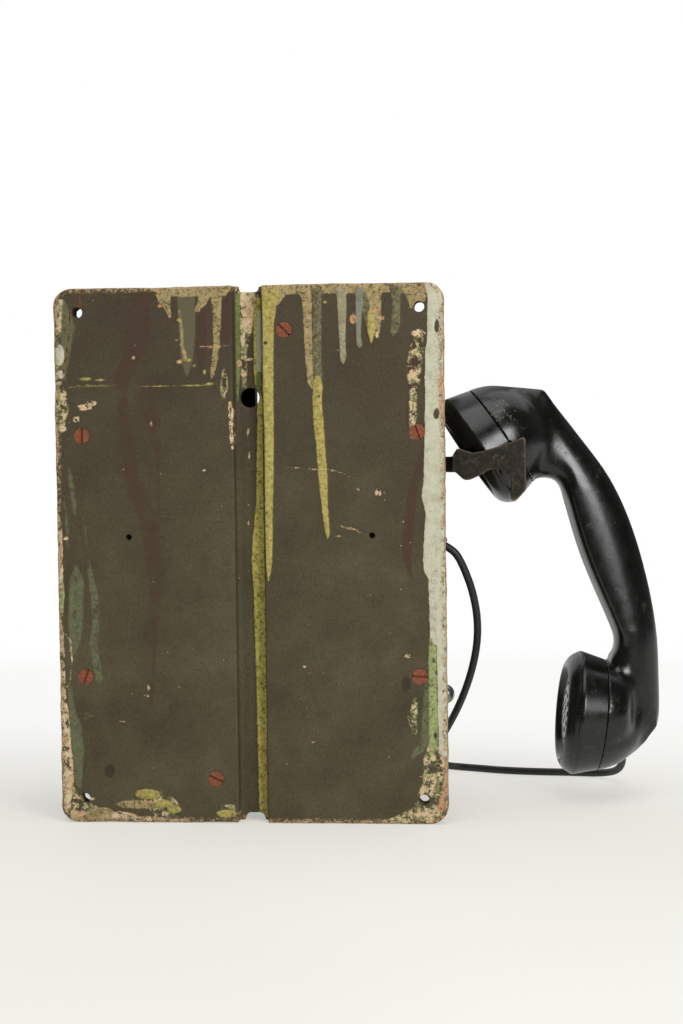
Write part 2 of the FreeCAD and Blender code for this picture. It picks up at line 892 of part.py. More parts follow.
def escutcheon():
    """The slotted iron plate round the hook's neck."""
    mid = slot_low + hook_slot_h / 2
    plate = plate_yz(
        (hook_y - 10, mid - 18),
        [
            ((hook_y, mid - 23), (hook_y + 10, mid - 18)),
            (hook_y + 10, mid + 18),
            ((hook_y, mid + 23), (hook_y - 10, mid + 18)),
        ],
        -case_x - escutcheon_t,
        -case_x,
    )
    return plate.cut(hook_slot)


def hook_bracket():
    """Foot on the case side, two ears for the pivot and a shelf for the contact springs."""
    gap = bracket_gap / 2
    foot = box(
        -inner_x, -inner_x + bracket_t, hook_y - bracket_foot_w / 2, hook_y + bracket_foot_w / 2,
        slot_low - 10, bracket_top_z,
    )
    foot = foot.cut(hook_slot)
    bracket = foot
    for side in (-1, 1):
        ear = box(
            -inner_x, hook_pivot_x + bracket_ear_reach / 2,
            hook_y + side * gap, hook_y + side * (gap + bracket_t),
            hook_pivot_z - 8, bracket_top_z,
        )
        bracket = bracket.fuse(ear)
    shelf = box(
        -inner_x, shelf_end_x, hook_y - shelf_w / 2, hook_y + shelf_w / 2,
        bracket_top_z - bracket_t, bracket_top_z,
    )
    bracket = bracket.fuse(shelf)
    bore = rod(
        (hook_pivot_x, hook_y - 12, hook_pivot_z), (hook_pivot_x, hook_y + 12, hook_pivot_z), hook_pin_r
    )
    return bracket.cut(bore).removeSplitter()


pin_half = bracket_gap / 2 + bracket_t
pivot_pin = rod(
    (hook_pivot_x, hook_y - pin_half, hook_pivot_z),
    (hook_pivot_x, hook_y + pin_half, hook_pivot_z),
    hook_pin_r,
)
blades = []
packers = []
stack_top = bracket_top_z - bracket_t
for i in range(blade_count):
    top = stack_top - i * blade_pitch - (blade_pitch - blade_t)
    free_x = blade_free_x if i % 2 else blade_free_x + 6
    blades.append(
        box(free_x, shelf_end_x, hook_y - blade_w / 2, hook_y + blade_w / 2, top, top - blade_t)
    )
    packers.append(
        box(shelf_end_x - 12, shelf_end_x, hook_y - 4, hook_y + 4, top, top + blade_pitch - blade_t)
    )
save("hook_fork", hook())
save("hook_escutcheon", escutcheon())
save("hook_bracket", hook_bracket())
save("hook_pivot_pin", pivot_pin)
save("switch_blades", *blades)
save("switch_insulators", *packers)


# ---------------------------------------------------------------- push button
def button_bush():
    x_out = -case_x - button_flange_out
    steps = [
        (0, button_cup_r),
        (0, button_bush_r + 2),
        (button_flange_out, button_bush_r + 2),
        (button_flange_out, button_bush_r),
        (case_wall + button_flange_out, button_bush_r),
        (case_wall + button_flange_out, button_stem_r + button_fit),
        (7.0, button_stem_r + button_fit),
        (7.0, button_cup_r),
    ]
    return turned(steps[0], steps[1:], (x_out, button_y, button_z), (1, 0, 0))


def push_button():
    """A ball-headed plunger, turned in one piece with its stop collar."""
    tip_x = button_ball_x - button_ball_r
    tip_in = button_ball_r - math.sqrt(button_ball_r**2 - button_tip_flat_r**2)
    neck = button_ball_r + math.sqrt(button_ball_r**2 - button_stem_r**2)
    collar = -inner_x + button_collar_gap - tip_x
    collar_end = collar + button_collar_t
    end = button_stem_end_x - tip_x
    steps = [
        (tip_in, button_tip_flat_r),
        ((button_ball_r, button_ball_r), (neck, button_stem_r)),
        (collar, button_stem_r),
        (collar, button_collar_r),
        (collar_end, button_collar_r),
        (collar_end, button_stem_r),
        (end, button_stem_r),
        (end, 0),
    ]
    return turned((tip_in, 0), steps, (tip_x, button_y, button_z), (1, 0, 0))


contact_x = button_stem_end_x + button_travel + 0.5
button_block = box(
    -inner_x, contact_x + 3 * blade_t, button_y - 6, button_y + 6, button_z - 22, button_z - 14
)
button_blades = [
    box(
        contact_x + i * 2 * blade_t, contact_x + (i * 2 + 1) * blade_t,
        button_y - blade_w / 2, button_y + blade_w / 2, button_z - 22, button_z + 3 + 2 * i,
    )
    for i in (0, 1)
]
button_block = cut_all(button_block, button_blades)
save("button_bush", button_bush())
save("push_button", push_button())
save("button_contacts", *button_blades)
save("button_contact_block", button_block)


# ---------------------------------------------------------------- cord entry bush and cord
def cord_bush():
    """A rubber grommet: a tube through the wall, a flange and a nose that points the cord down."""
    flange_x = -case_x - cord_bush_flange_t
    sleeve = rod(
        (flange_x, cord_bush_y, cord_bush_z), (-inner_x + 2, cord_bush_y, cord_bush_z), cord_bush_hole_r
    )
    flange = rod(
        (flange_x, cord_bush_y, cord_bush_z), (-case_x, cord_bush_y, cord_bush_z), cord_bush_flange_r
    )
    length = cord_bush_nose + 3
    steps = [
        (0, cord_nose_r),
        (3, cord_nose_r),
        ((length - 1.5, cord_nose_r - 0.5), (length, cord_nose_r - 1.7)),
        (length, 0),
    ]
    root = Vector(*cord_route[0]) - cord_leaves * length
    nose = turned((0, 0), steps, root, cord_leaves)
    inside = box(
        -case_x, -inner_x, cord_bush_y - cord_bush_flange_r, cord_bush_y + cord_bush_flange_r,
        cord_bush_z - cord_bush_flange_r, cord_bush_z + cord_bush_flange_r,
    )
    nose = nose.cut(inside)
    return sleeve.fuse(flange).fuse(nose).removeSplitter()


cord_low = floor_z + cord_d / 2 + 0.1
handset_end = handset_place.multVec(bush_end)
handset_out = handset_place.Rotation.multVec(bush_axis)
# The cord's way, as its distance out from the case's side, y and z.
cord_way = [
    (4.5, cord_bush_y, 0.6),
    (8.7, cord_bush_y, -1.85),
    (12.0, -70.6, -5.6),
    (15.7, -72.6, -13.8),
    (19.6, -76.0, -25.5),
    (22.0, -80.8, -40.5),
    (21.4, -86.5, -56.0),
    (17.3, -96.5, -74.0),
    (10.4, -109.2, -92.5),
    (1.4, -123.4, -110.0),
    (-6.2, -135.6, -122.6),
    (-6.5, -146.0, -129.6),
    (-0.8, -153.9, -133.9),
    (9.4, -156.6, cord_low),
    (20.0, -152.2, cord_low),
    (34.0, -145.6, cord_low),
    (54.0, -141.4, cord_low),
    (75.0, -139.8, cord_low),
    (91.6, -134.4, cord_low + 0.4),
    (100.8, -124.4, -131.2),
]
cord_route = [(-case_x - out, y, z) for out, y, z in cord_way]
cord_leaves = (Vector(*cord_route[1]) - Vector(*cord_route[0])).normalize()


def cord_path(points):
    """Straight runs joined by tangent arcs, each as large as its two runs allow."""
    edges = []
    here = points[0]
    for before, corner, after in zip(points, points[1:], points[2:]):
        into = corner - before
        out = after - corner
        half_turn = into.getAngle(out) / 2
        reach = 0.45 * min(into.Length, out.Length)
        radius = reach / math.tan(half_turn)
        print("cord arc radius %.1f mm, turn %.0f degrees" % (radius, math.degrees(2 * half_turn)))
        into.normalize()
        out.normalize()
        start = corner - into * reach
        end = corner + out * reach
        inward = out - into
        inward.normalize()
        middle = corner + inward * (radius / math.cos(half_turn) - radius)
        edges.append(Part.LineSegment(here, start).toShape())
        edges.append(Part.Arc(start, middle, end).toShape())
        here = end
    edges.append(Part.LineSegment(here, points[-1]).toShape())
    return Part.Wire(edges)


def cord():
    points = [Vector(*p) for p in cord_route]
    points += [handset_end + handset_out * 9.5, handset_end]
    path = cord_path(points)
    start = Part.Circle(points[0], points[1] - points[0], cord_d / 2).toShape()
    tube = path.makePipeShell([Part.Wire([start])], True, False)
    expected = math.pi * cord_d**2 / 4 * path.Length
    print("cord length %.1f mm, volume %.1f of %.1f mm3" % (path.Length, tube.Volume, expected))
    return tube


save("cord_bush", cord_bush())
save("handset_cord", cord())


# ---------------------------------------------------------------- gears
def gear_wire(teeth, phase_degrees, x):
    """Teeth with straight flanks that lean like an involute's, in the plane X = x."""
    pitch_r = gear_module * teeth / 2
    tip_r = pitch_r + gear_module
    root_r = pitch_r - 1.25 * gear_module
    pitch_angle = 2 * math.pi / teeth
    half = 0.225 * pitch_angle
    lean = gear_module * math.tan(math.radians(20)) / pitch_r
    points = []
    for i in range(teeth):
        middle = math.radians(phase_degrees) + i * pitch_angle
        corners = (
            (root_r, middle - half - 1.2 * lean),
            (tip_r, middle - half + lean),
            (tip_r, middle + half - lean),
            (root_r, middle + half + 1.2 * lean),
        )
        for radius, angle in corners:
            points.append(Vector(x, radius * math.cos(angle), radius * math.sin(angle)))
    points.append(points[0])
    return Part.makePolygon(points)


def gear(teeth, phase_degrees, x, thickness, y, z):
    solid = Part.Face(gear_wire(teeth, phase_degrees, x)).extrude(Vector(thickness, 0, 0))
    solid.translate(Vector(0, y, z))
    return solid


gear_gap_phase = -90 + 180.0 / gear_teeth
drive_gear = gear(gear_teeth, gear_gap_phase, gear_x, gear_t, crank_y, crank_z)
web_r = gear_module * gear_teeth / 2 * 0.78
for i in range(5):
    angle = 2 * math.pi * i / 5
    y = crank_y + web_r * 0.66 * math.cos(angle)
    z = crank_z + web_r * 0.66 * math.sin(angle)
    drive_gear = drive_gear.cut(rod((gear_x - 1, y, z), (gear_x + gear_t + 1, y, z), 5.6))
drive_gear = drive_gear.fuse(
    rod((gear_x - 1, crank_y, crank_z), (gear_x + gear_t + 1.5, crank_y, crank_z), 8.0)
)
drive_gear = drive_gear.cut(
    rod((gear_x - 2, crank_y, crank_z), (gear_x + gear_t + 3, crank_y, crank_z), crank_shaft_r)
)
pinion_x = gear_x + gear_t / 2 - pinion_t / 2
pinion = gear(pinion_teeth, 90, pinion_x, pinion_t, armature_y, armature_z)
pinion_bore = rod(
    (pinion_x - 1, armature_y, armature_z),
    (pinion_x + pinion_t + 1, armature_y, armature_z),
    armature_shaft_r,
)
pinion = pinion.cut(pinion_bore)
save("drive_gear", drive_gear)
save("armature_pinion", pinion)


# ---------------------------------------------------------------- generator
generator_low = -inner_z + generator_base_t
stack_end = magnet_x + magnet_count * magnet_w + (magnet_count - 1) * magnet_gap


def horseshoe(x):
    """One bent magnet bar standing on its two ends."""
    outer, inner = magnet_half_span, magnet_half_span - magnet_bar_t
    arch_z = armature_z + 20
    left, right = armature_y - outer, armature_y + outer
    return plate_yz(
        (left, generator_low),
        [
            (left, arch_z),
            ((armature_y, arch_z + outer), (right, arch_z)),
            (right, generator_low),
            (right - magnet_bar_t, generator_low),
            (right - magnet_bar_t, arch_z),
            ((armature_y, arch_z + inner), (left + magnet_bar_t, arch_z)),
            (left + magnet_bar_t, generator_low),
        ],
        x,
        x + magnet_w,
    )


def pole_piece(side):
    reach = magnet_half_span - magnet_bar_t
    block = box(
        magnet_x, stack_end, armature_y + side * 3, armature_y + side * reach,
        generator_low, armature_z + 17,
    )
    bore = rod(
        (magnet_x - 1, armature_y, armature_z), (stack_end + 1, armature_y, armature_z),
        armature_r + armature_air_gap,
    )
    gap = box(magnet_x - 1, stack_end + 1, armature_y - 6, armature_y + 6, -200, 0)
    return block.cut(bore).cut(gap)


def end_plate(x, top_z, with_crank):
    plate = plate_yz(
        (armature_y - magnet_half_span, generator_low),
        [
            (armature_y - magnet_half_span, armature_z + 12),
            (armature_y - 10, top_z),
            (armature_y + 10, top_z),
            (armature_y + magnet_half_span, armature_z + 12),
            (armature_y + magnet_half_span, generator_low),
        ],
        x,
        x + end_plate_t,
    )
    plate = plate.cut(
        rod((x - 1, armature_y, armature_z), (x + end_plate_t + 1, armature_y, armature_z),
            armature_shaft_r + shaft_fit)
    )
    if with_crank:
        plate = plate.cut(
            rod((x - 1, crank_y, crank_z), (x + end_plate_t + 1, crank_y, crank_z),
                crank_shaft_r + shaft_fit)
        )
    return plate


plate_a_x = magnet_x - end_plate_t - 0.5
plate_b_x = stack_end + 0.5
generator_base = box(
    plate_a_x - 4, plate_b_x + end_plate_t + 1,
    armature_y - magnet_half_span - 2, armature_y + magnet_half_span + 2,
    -inner_z, generator_low,
)
magnets = [horseshoe(magnet_x + i * (magnet_w + magnet_gap)) for i in range(magnet_count)]
save("generator_base", generator_base)
save("generator_magnets", *magnets)
save("pole_pieces", pole_piece(-1), pole_piece(1))
save(
    "generator_end_plates",
    end_plate(plate_a_x, armature_z + 20, False),
    end_plate(plate_b_x, crank_z + 9, True),
)


def armature_core():
    """The H-shaped armature: a round core with two deep slots, on its shaft."""
    core = rod(
        (magnet_x + 1, armature_y, armature_z), (stack_end - 1, armature_y, armature_z), armature_r
    )
    for side in (-1, 1):
        slot = box(
            magnet_x, stack_end, armature_y + side * 4, armature_y + side * 20,
            armature_z - 9, armature_z + 9,
        )
        core = core.cut(slot)
    shaft = rod(
        (plate_a_x - 2, armature_y, armature_z),
        (pinion_x + pinion_t, armature_y, armature_z),
        armature_shaft_r,
    )
    return core.fuse(shaft)


def armature_winding():
    """Wire that fills the two slots, rounded to the core's outline."""
    winding = []
    for side in (-1, 1):
        block = box(
            magnet_x + 2, stack_end - 2, armature_y + side * 4, armature_y + side * 20,
            armature_z - 9, armature_z + 9,
        )
        round_off = rod(
            (magnet_x, armature_y, armature_z), (stack_end, armature_y, armature_z), armature_r - 1
        )
        winding.append(block.common(round_off))
    return winding


save("armature_core", armature_core())
save("armature_winding", *armature_winding())


# ---------------------------------------------------------------- crank
arm_x = case_x + crank_bush_out + crank_wall_gap
crank_turn = math.radians(crank_angle)
grip_y = crank_y + crank_radius * math.cos(crank_turn)
grip_z = crank_z + crank_radius * math.sin(crank_turn)


def crank_bush():
    """The flanged bearing bush in the case side."""
    tube = rod((inner_x - 2, crank_y, crank_z), (case_x + crank_bush_out, crank_y, crank_z), crank_bush_r)
    flange = rod((case_x, crank_y, crank_z), (case_x + 1.5, crank_y, crank_z), crank_bush_r + 5)
    bore = rod(
        (inner_x - 3, crank_y, crank_z), (case_x + crank_bush_out + 1, crank_y, crank_z),
        crank_shaft_r + shaft_fit,
    )
    return tube.fuse(flange).cut(bore)


def crank_arm():
    """A flat arm, broad at the shaft and narrower at the grip, with a hub."""
    half = crank_arm_w / 2
    arm = plate_yz(
        (half, 0),
        [
            ((0, -half), (-half, 0)),
            (-half * 0.7, crank_radius),
            ((0, crank_radius + half * 0.7), (half * 0.7, crank_radius)),
        ],
        arm_x,
        arm_x + crank_arm_t,
    )
    arm.rotate(Vector(0, 0, 0), Vector(1, 0, 0), crank_angle - 90)
    arm.translate(Vector(0, crank_y, crank_z))
    hub = rod((arm_x, crank_y, crank_z), (arm_x + crank_arm_t + 2, crank_y, crank_z), 7.5)
    bore = rod((arm_x - 1, crank_y, crank_z), (arm_x + crank_arm_t + 4, crank_y, crank_z), crank_shaft_r)
    return arm.fuse(hub).cut(bore).removeSplitter()


crank_shaft = rod(
    (plate_b_x - 0.3, crank_y, crank_z), (arm_x + crank_arm_t + 2, crank_y, crank_z), crank_shaft_r
)
grip_x = arm_x + crank_arm_t
grip_end = grip_x + 0.5 + grip_len
grip_pin = rod((grip_x, grip_y, grip_z), (grip_end + 1.0, grip_y, grip_z), grip_pin_r)
grip_pin = grip_pin.fuse(rod((grip_end + 0.4, grip_y, grip_z), (grip_end + 1.6, grip_y, grip_z), 3.4))


def crank_grip():
    """The turned handle that spins on the crank's pin."""
    bore_r = grip_pin_r + shaft_fit
    steps = [
        (0, grip_r * 0.75),
        ((grip_len * 0.25, grip_r * 0.72), (grip_len * 0.55, grip_r)),
        ((grip_len * 0.88, grip_r * 0.86), (grip_len, grip_r * 0.62)),
        (grip_len, bore_r),
    ]
    return turned((0, bore_r), steps, (grip_x + 0.4, grip_y, grip_z), (1, 0, 0))


save("crank_bush", crank_bush())
save("crank_shaft", crank_shaft)
save("crank_arm", crank_arm())
save("crank_grip_pin", grip_pin)
save("crank_grip", crank_grip())


# ---------------------------------------------------------------- ringer
def gong(x):
    """A spun bell: flat crown, curved shoulder and a flared rim, open to the back."""
    outer = [
        (gong_depth, 0),
        (gong_depth, gong_r * 0.35),
        ((gong_depth * 0.78, gong_r * 0.76), (0, gong_r)),
        (0, gong_r - gong_wall),
        ((gong_depth * 0.78 - gong_wall, gong_r * 0.76 - gong_wall), (gong_depth - gong_wall, gong_r * 0.33)),
        (gong_depth - gong_wall, 0),
    ]
    bell = turned(outer[-1], outer[:-1], (x, gong_rim_y, gong_z), (0, -1, 0))
    return bell.cut(rod((x, 0, gong_z), (x, -100, gong_z), 2.0))


gong_seat_y = gong_rim_y - gong_depth + gong_wall
posts = []
gong_screws = []
for x in (-gong_x, gong_x):
    posts.append(rod((x, board_front, gong_z), (x, gong_seat_y, gong_z), gong_post_r))
    head_y = gong_seat_y - gong_wall
    gong_screws.append(
        rod((x, gong_seat_y, gong_z), (x, head_y, gong_z), 2.0).fuse(
            turned((0, 0), [(0, 4.2), ((1.6, 3.3), (2.4, 1)), (2.4, 0)], (x, head_y, gong_z), (0, -1, 0))
        )
    )
save("gong_left", gong(-gong_x))
save("gong_right", gong(gong_x))
save("gong_posts", *posts)
save("gong_screws", *gong_screws)

pole_z = ringer_low + yoke_t + coil_len + 1
yoke = box(-coil_x - 9, coil_x + 9, board_front, coil_y - 9, ringer_low, ringer_low + yoke_t)
cores = []
windings = []
cheeks = []
for x in (-coil_x, coil_x):
    low = ringer_low + yoke_t
    cores.append(rod((x, coil_y, low), (x, coil_y, pole_z), coil_core_r))
    wire = rod((x, coil_y, low + cheek_t), (x, coil_y, low + coil_len - cheek_t), coil_r)
    windings.append(wire.cut(cores[-1]))
    for start in (low, low + coil_len - cheek_t):
        cheek = rod((x, coil_y, start), (x, coil_y, start + cheek_t), coil_r + 1.6)
        cheeks.append(cheek.cut(cores[-1]))
clapper_low = pole_z + clapper_gap
pivot_z = clapper_low + clapper_plate_t + 3
magnet_back = board_front - 1
magnet_front = magnet_back - 6
ringer_magnet = box(-5, 5, magnet_back, magnet_front, ringer_low + yoke_t, pivot_z + 3)
pivot_stub = rod((0, magnet_front, pivot_z), (0, coil_y - 4, pivot_z), clapper_pivot_r)
save("ringer_yoke", fuse(yoke, cores[0], cores[1]))
save("ringer_windings", *windings)
save("ringer_coil_cheeks", *cheeks)
save("ringer_magnet", ringer_magnet.fuse(pivot_stub))


def clapper():
    """The rocking iron on its pivot, with the rod and the ball between the two gongs."""
    iron = box(
        -coil_x - 5, coil_x + 5, coil_y - 5, coil_y + 5, clapper_low, clapper_low + clapper_plate_t
    )
    lug_top = pivot_z + 3
    lug = box(-3, 3, coil_y - 3, coil_y + 3, clapper_low, lug_top)
    ball_at = (0, gong_rim_y - 3, gong_z)
    bend_at = (0, coil_y, lug_top + 4)
    stem = rod((0, coil_y, lug_top - 1), bend_at, clapper_rod_r)
    elbow = Part.makeSphere(clapper_rod_r, Vector(*bend_at))
    reach = rod(bend_at, ball_at, clapper_rod_r)
    ball = Part.makeSphere(clapper_ball_r, Vector(*ball_at))
    bore = rod((0, 0, pivot_z), (0, -80, pivot_z), clapper_pivot_r + shaft_fit)
    return iron.fuse(lug).cut(bore).fuse(stem).fuse(elbow).fuse(reach).fuse(ball)


save("clapper", clapper())


# ---------------------------------------------------------------- battery
cell_low = -inner_z + tray_t
cells = []
for x in cell_x:
    can = rod((x, cell_y, cell_low), (x, cell_y, cell_low + cell_len), cell_r)
    tip = rod((x, cell_y, cell_low + cell_len), (x, cell_y, cell_low + cell_len + 3), 4.5)
    cells.append(can.fuse(tip))
tray_x0 = cell_x[0] - cell_r - tray_fit - tray_t
tray_x1 = cell_x[1] + cell_r + tray_fit + tray_t
tray_front = cell_y - cell_r - tray_fit - tray_t
tray_back = cell_y + cell_r + tray_fit + tray_t
tray = box(tray_x0, tray_x1, tray_front, tray_back, -inner_z, -inner_z + tray_h)
tray = tray.cut(
    box(
        tray_x0 + tray_t, tray_x1 - tray_t, tray_front + tray_t, tray_back - tray_t,
        cell_low, -inner_z + tray_h + 1,
    )
)
save("dry_cells", *cells)
save("battery_tray", tray)


# ---------------------------------------------------------------- induction coil, capacitor, terminals
def induction_coil():
    x0, x1 = induction_x
    winding = rod((x0 + 3, induction_y, induction_z), (x1 - 3, induction_y, induction_z), induction_r)
    core = rod((x0 - 3, induction_y, induction_z), (x1 + 3, induction_y, induction_z), 4.0)
    cheek_half = board_front - induction_y
    ends = [
        box(x, x + 3, board_front, induction_y - cheek_half, induction_z - 14, induction_z + 14)
        for x in (x0, x1 - 3)
    ]
    ends = [end.cut(core) for end in ends]
    return winding.cut(core), core, ends


winding, core, ends = induction_coil()
save("induction_winding", winding)
save("induction_core", core)
save("induction_cheeks", *ends)

cap_x, cap_y, cap_z = capacitor_size
can = box(
    capacitor_x, capacitor_x + cap_x, board_front, board_front - cap_y, capacitor_z, capacitor_z + cap_z
)
can = can.makeFillet(2.5, edges_along(can, (0, 0, 1), lambda c: True))
save("capacitor", can)

block = box(
    -terminal_w / 2, terminal_w / 2, board_front, board_front - terminal_t,
    terminal_z - terminal_h / 2, terminal_z + terminal_h / 2,
)
terminals = []
for i in range(terminal_count):
    x = (i - (terminal_count - 1) / 2) * terminal_pitch
    block = block.cut(rod((x, board_front, terminal_z), (x, board_front - terminal_t, terminal_z), 1.6))
    shank = rod((x, board_front - 1, terminal_z), (x, board_front - terminal_t, terminal_z), 1.6)
    head = turned(
        (0, 0), [(0, 3.6), (1.6, 3.6), ((2.2, 3.1), (2.6, 1.5)), (2.6, 0)],
        (x, board_front - terminal_t, terminal_z), (0, -1, 0),
    )
    notch = box(
        x - 4, x + 4, board_front - terminal_t - 1.6, board_front - terminal_t - 4,
        terminal_z - 0.5, terminal_z + 0.5,
    )
    terminals.append(shank.fuse(head).cut(notch))
save("terminal_block", block)
save("terminal_screws", *terminals)
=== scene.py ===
import math

import bmesh
import bpy
import numpy as np
from mathutils import Matrix, Vector


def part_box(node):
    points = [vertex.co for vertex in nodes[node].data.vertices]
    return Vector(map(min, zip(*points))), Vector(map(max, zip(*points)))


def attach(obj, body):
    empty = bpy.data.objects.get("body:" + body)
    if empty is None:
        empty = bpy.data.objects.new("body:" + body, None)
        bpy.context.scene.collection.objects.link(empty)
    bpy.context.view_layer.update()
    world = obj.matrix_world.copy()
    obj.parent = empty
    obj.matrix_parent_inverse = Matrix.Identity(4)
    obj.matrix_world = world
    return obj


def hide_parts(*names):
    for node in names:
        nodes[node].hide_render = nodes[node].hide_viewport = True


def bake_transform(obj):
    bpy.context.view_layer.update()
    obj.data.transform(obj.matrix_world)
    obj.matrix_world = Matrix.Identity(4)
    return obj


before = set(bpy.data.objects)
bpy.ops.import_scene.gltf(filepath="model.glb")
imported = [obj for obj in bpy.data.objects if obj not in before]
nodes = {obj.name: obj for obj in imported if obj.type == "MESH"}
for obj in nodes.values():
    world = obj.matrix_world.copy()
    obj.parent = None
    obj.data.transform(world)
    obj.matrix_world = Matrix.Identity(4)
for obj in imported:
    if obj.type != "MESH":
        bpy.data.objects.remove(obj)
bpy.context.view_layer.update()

MM = 0.001
board_grid, handset_grid, fork_grid = ((0.9, 0.8, 0.6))


def add_object(name, data):
    thing = bpy.data.objects.new(name, data)
    bpy.context.scene.collection.objects.link(thing)
    return thing


# ---------- camera
camera_place = Vector((-0.13484, 0.950, 0.05868))
camera_right = Vector((-0.99574211, -0.09135746, -0.01230695))
camera_up = Vector((-0.00872133, -0.03954417, 0.99917976))
camera_back = Vector((-0.09176919, 0.99503270, 0.03857904))
camera = add_object("camera", bpy.data.cameras.new("camera"))
camera.data.lens = 66.229
camera.data.sensor_width = 36.0
camera.data.clip_start = 0.05
camera.data.clip_end = 50.0
turn = Matrix((camera_right, camera_up, camera_back)).transposed().to_4x4()
camera.matrix_world = Matrix.Translation(camera_place) @ turn
bpy.context.scene.camera = camera
bpy.context.scene.view_settings.view_transform = "Standard"


# ---------- graphs
def linear(colour):
    """An sRGB colour, 0 to 255, as linear values."""
    out = []
    for value in colour:
        c = value / 255
        out.append(c / 12.92 if c <= 0.04045 else ((c + 0.055) / 1.055) ** 2.4)
    return (*out, 1.0)


class Graph:
    """A node tree, built up by calls that each add a node and give its output."""

    def __init__(self, tree):
        self.tree = tree
        tree.nodes.clear()

    def add(self, kind, **settings):
        node = self.tree.nodes.new("ShaderNode" + kind)
        for key, value in settings.items():
            setattr(node, key, value)
        return node

    def feed(self, socket, value):
        if isinstance(value, bpy.types.NodeSocket):
            self.tree.links.new(value, socket)
        else:
            socket.default_value = value

    def fed(self, kind, *values, **settings):
        """The first output of a node whose inputs are fed these values in their order."""
        node = self.add(kind, **settings)
        for socket, value in zip(node.inputs, values):
            self.feed(socket, value)
        return node.outputs[0]

    def math(self, operation, *values):
        return self.fed("Math", *values, operation=operation)

    def times(self, a, b):
        return self.math("MULTIPLY", a, b)

    def plus(self, a, b):
        return self.math("ADD", a, b)

    def minus(self, a, b):
        return self.math("SUBTRACT", a, b)

    def most(self, a, b):
        return self.math("MAXIMUM", a, b)

    def smooth(self, value, low, high, to_low=0.0, to_high=1.0, kind="SMOOTHSTEP"):
        return self.fed("MapRange", value, low, high, to_low, to_high, interpolation_type=kind)

    def straight(self, value, low, high, to_low, to_high):
        return self.smooth(value, low, high, to_low, to_high, "LINEAR")

    def ramp(self, value, *stops):
        """Colours along a value; a stop is (place, red, green, blue)."""
        node = self.add("ValToRGB")
        self.feed(node.inputs[0], value)
        band = node.color_ramp.elements
        while len(band) < len(stops):
            band.new(1.0)
        for element, (place, *colour) in zip(band, stops):
            element.position = place
            element.color = linear(colour)
        return node.outputs[0]

    def mix(self, amount, a, b):
        node = self.add("Mix", data_type="RGBA")
        colours = [s for s in node.inputs if s.type == "RGBA"]
        self.feed(node.inputs[0], amount)
        for socket, value in zip(colours, (a, b)):
            self.feed(socket, linear(value) if isinstance(value, tuple) else value)
        return [s for s in node.outputs if s.type == "RGBA"][0]

    def over(self, colour, tone, mask, amount=1.0):
        """A colour with a tone laid over it where the mask is 1, as thick as amount says."""
        return self.mix(self.times(mask, amount) if amount < 1 else mask, colour, tone)

    def glow(self, colour, strength):
        return self.fed("Emission", colour, strength)


class Finish(Graph):
    """One material's node graph, with coordinates in millimetres in the part's frame."""

    def __init__(self, name):
        self.material = bpy.data.materials.new(name)
        self.material.use_nodes = True
        super().__init__(self.material.node_tree)
        self.shader = self.add("BsdfPrincipled")
        self.out = self.add("OutputMaterial").inputs[0]
        self.feed(self.out, self.shader.outputs[0])
        scale = self.add("VectorMath", operation="SCALE")
        self.feed(scale.inputs[0], self.add("TexCoord").outputs["Object"])
        scale.inputs["Scale"].default_value = 1000
        self.at = scale.outputs[0]
        split = self.add("SeparateXYZ")
        self.feed(split.inputs[0], self.at)
        self.x, self.y, self.z = split.outputs

    def stretch(self, sx, sy, sz):
        return self.fed("VectorMath", self.at, (sx, sy, sz), operation="MULTIPLY")

    def texture(self, node, at, output, **values):
        self.feed(node.inputs["Vector"], at or self.at)
        for name, value in values.items():
            node.inputs[name].default_value = value
        return node.outputs[output]

    def noise(self, size, detail=3.0, rough=0.55, at=None, shift=0.0):
        """Noise whose blobs are about size millimetres across."""
        node = self.add("TexNoise", noise_dimensions="4D")
        return self.texture(node, at, "Fac", W=shift, Scale=1.0 / size, Detail=detail, Roughness=rough)

    def spots(self, low, high, *look, **more):
        """Noise as soft-edged spots: 0 at low and 1 at high."""
        return self.smooth(self.noise(*look, **more), low, high)

    def cells(self, size):
        return self.texture(self.add("TexVoronoi"), None, "Distance", Scale=1.0 / size)

    def attribute(self, name):
        return self.add("Attribute", attribute_name=name).outputs["Fac"]

    def bump(self, height, depth_mm, normal=None):
        node = self.add("Bump")
        node.inputs["Strength"].default_value = 1.0
        node.inputs["Distance"].default_value = depth_mm * MM
        self.feed(node.inputs["Height"], height)
        if normal is not None:
            self.feed(node.inputs["Normal"], normal)
        return node.outputs[0]

    def done(self, colour, rough, metallic=0.0, normal=None, specular=0.5):
        self.feed(self.shader.inputs["Base Color"], colour)
        self.feed(self.shader.inputs["Roughness"], rough)
        self.shader.inputs["Metallic"].default_value = metallic
        self.shader.inputs["Specular IOR Level"].default_value = specular
        if normal is not None:
            self.feed(self.shader.inputs["Normal"], normal)
        return self.material


# ---------- materials
# Places where the handset's black is scuffed: middle, reach, how much is spared, and tone.
handset_scuffs = (
    ((-129.5, -46, 77), 6.5, 0.56, (128, 130, 104)),
    ((-198, -50, -91.5), 4.5, 0.60, (150, 150, 142)),
    ((-160, -62, 53), 3, 0.58, (120, 112, 98)),
)


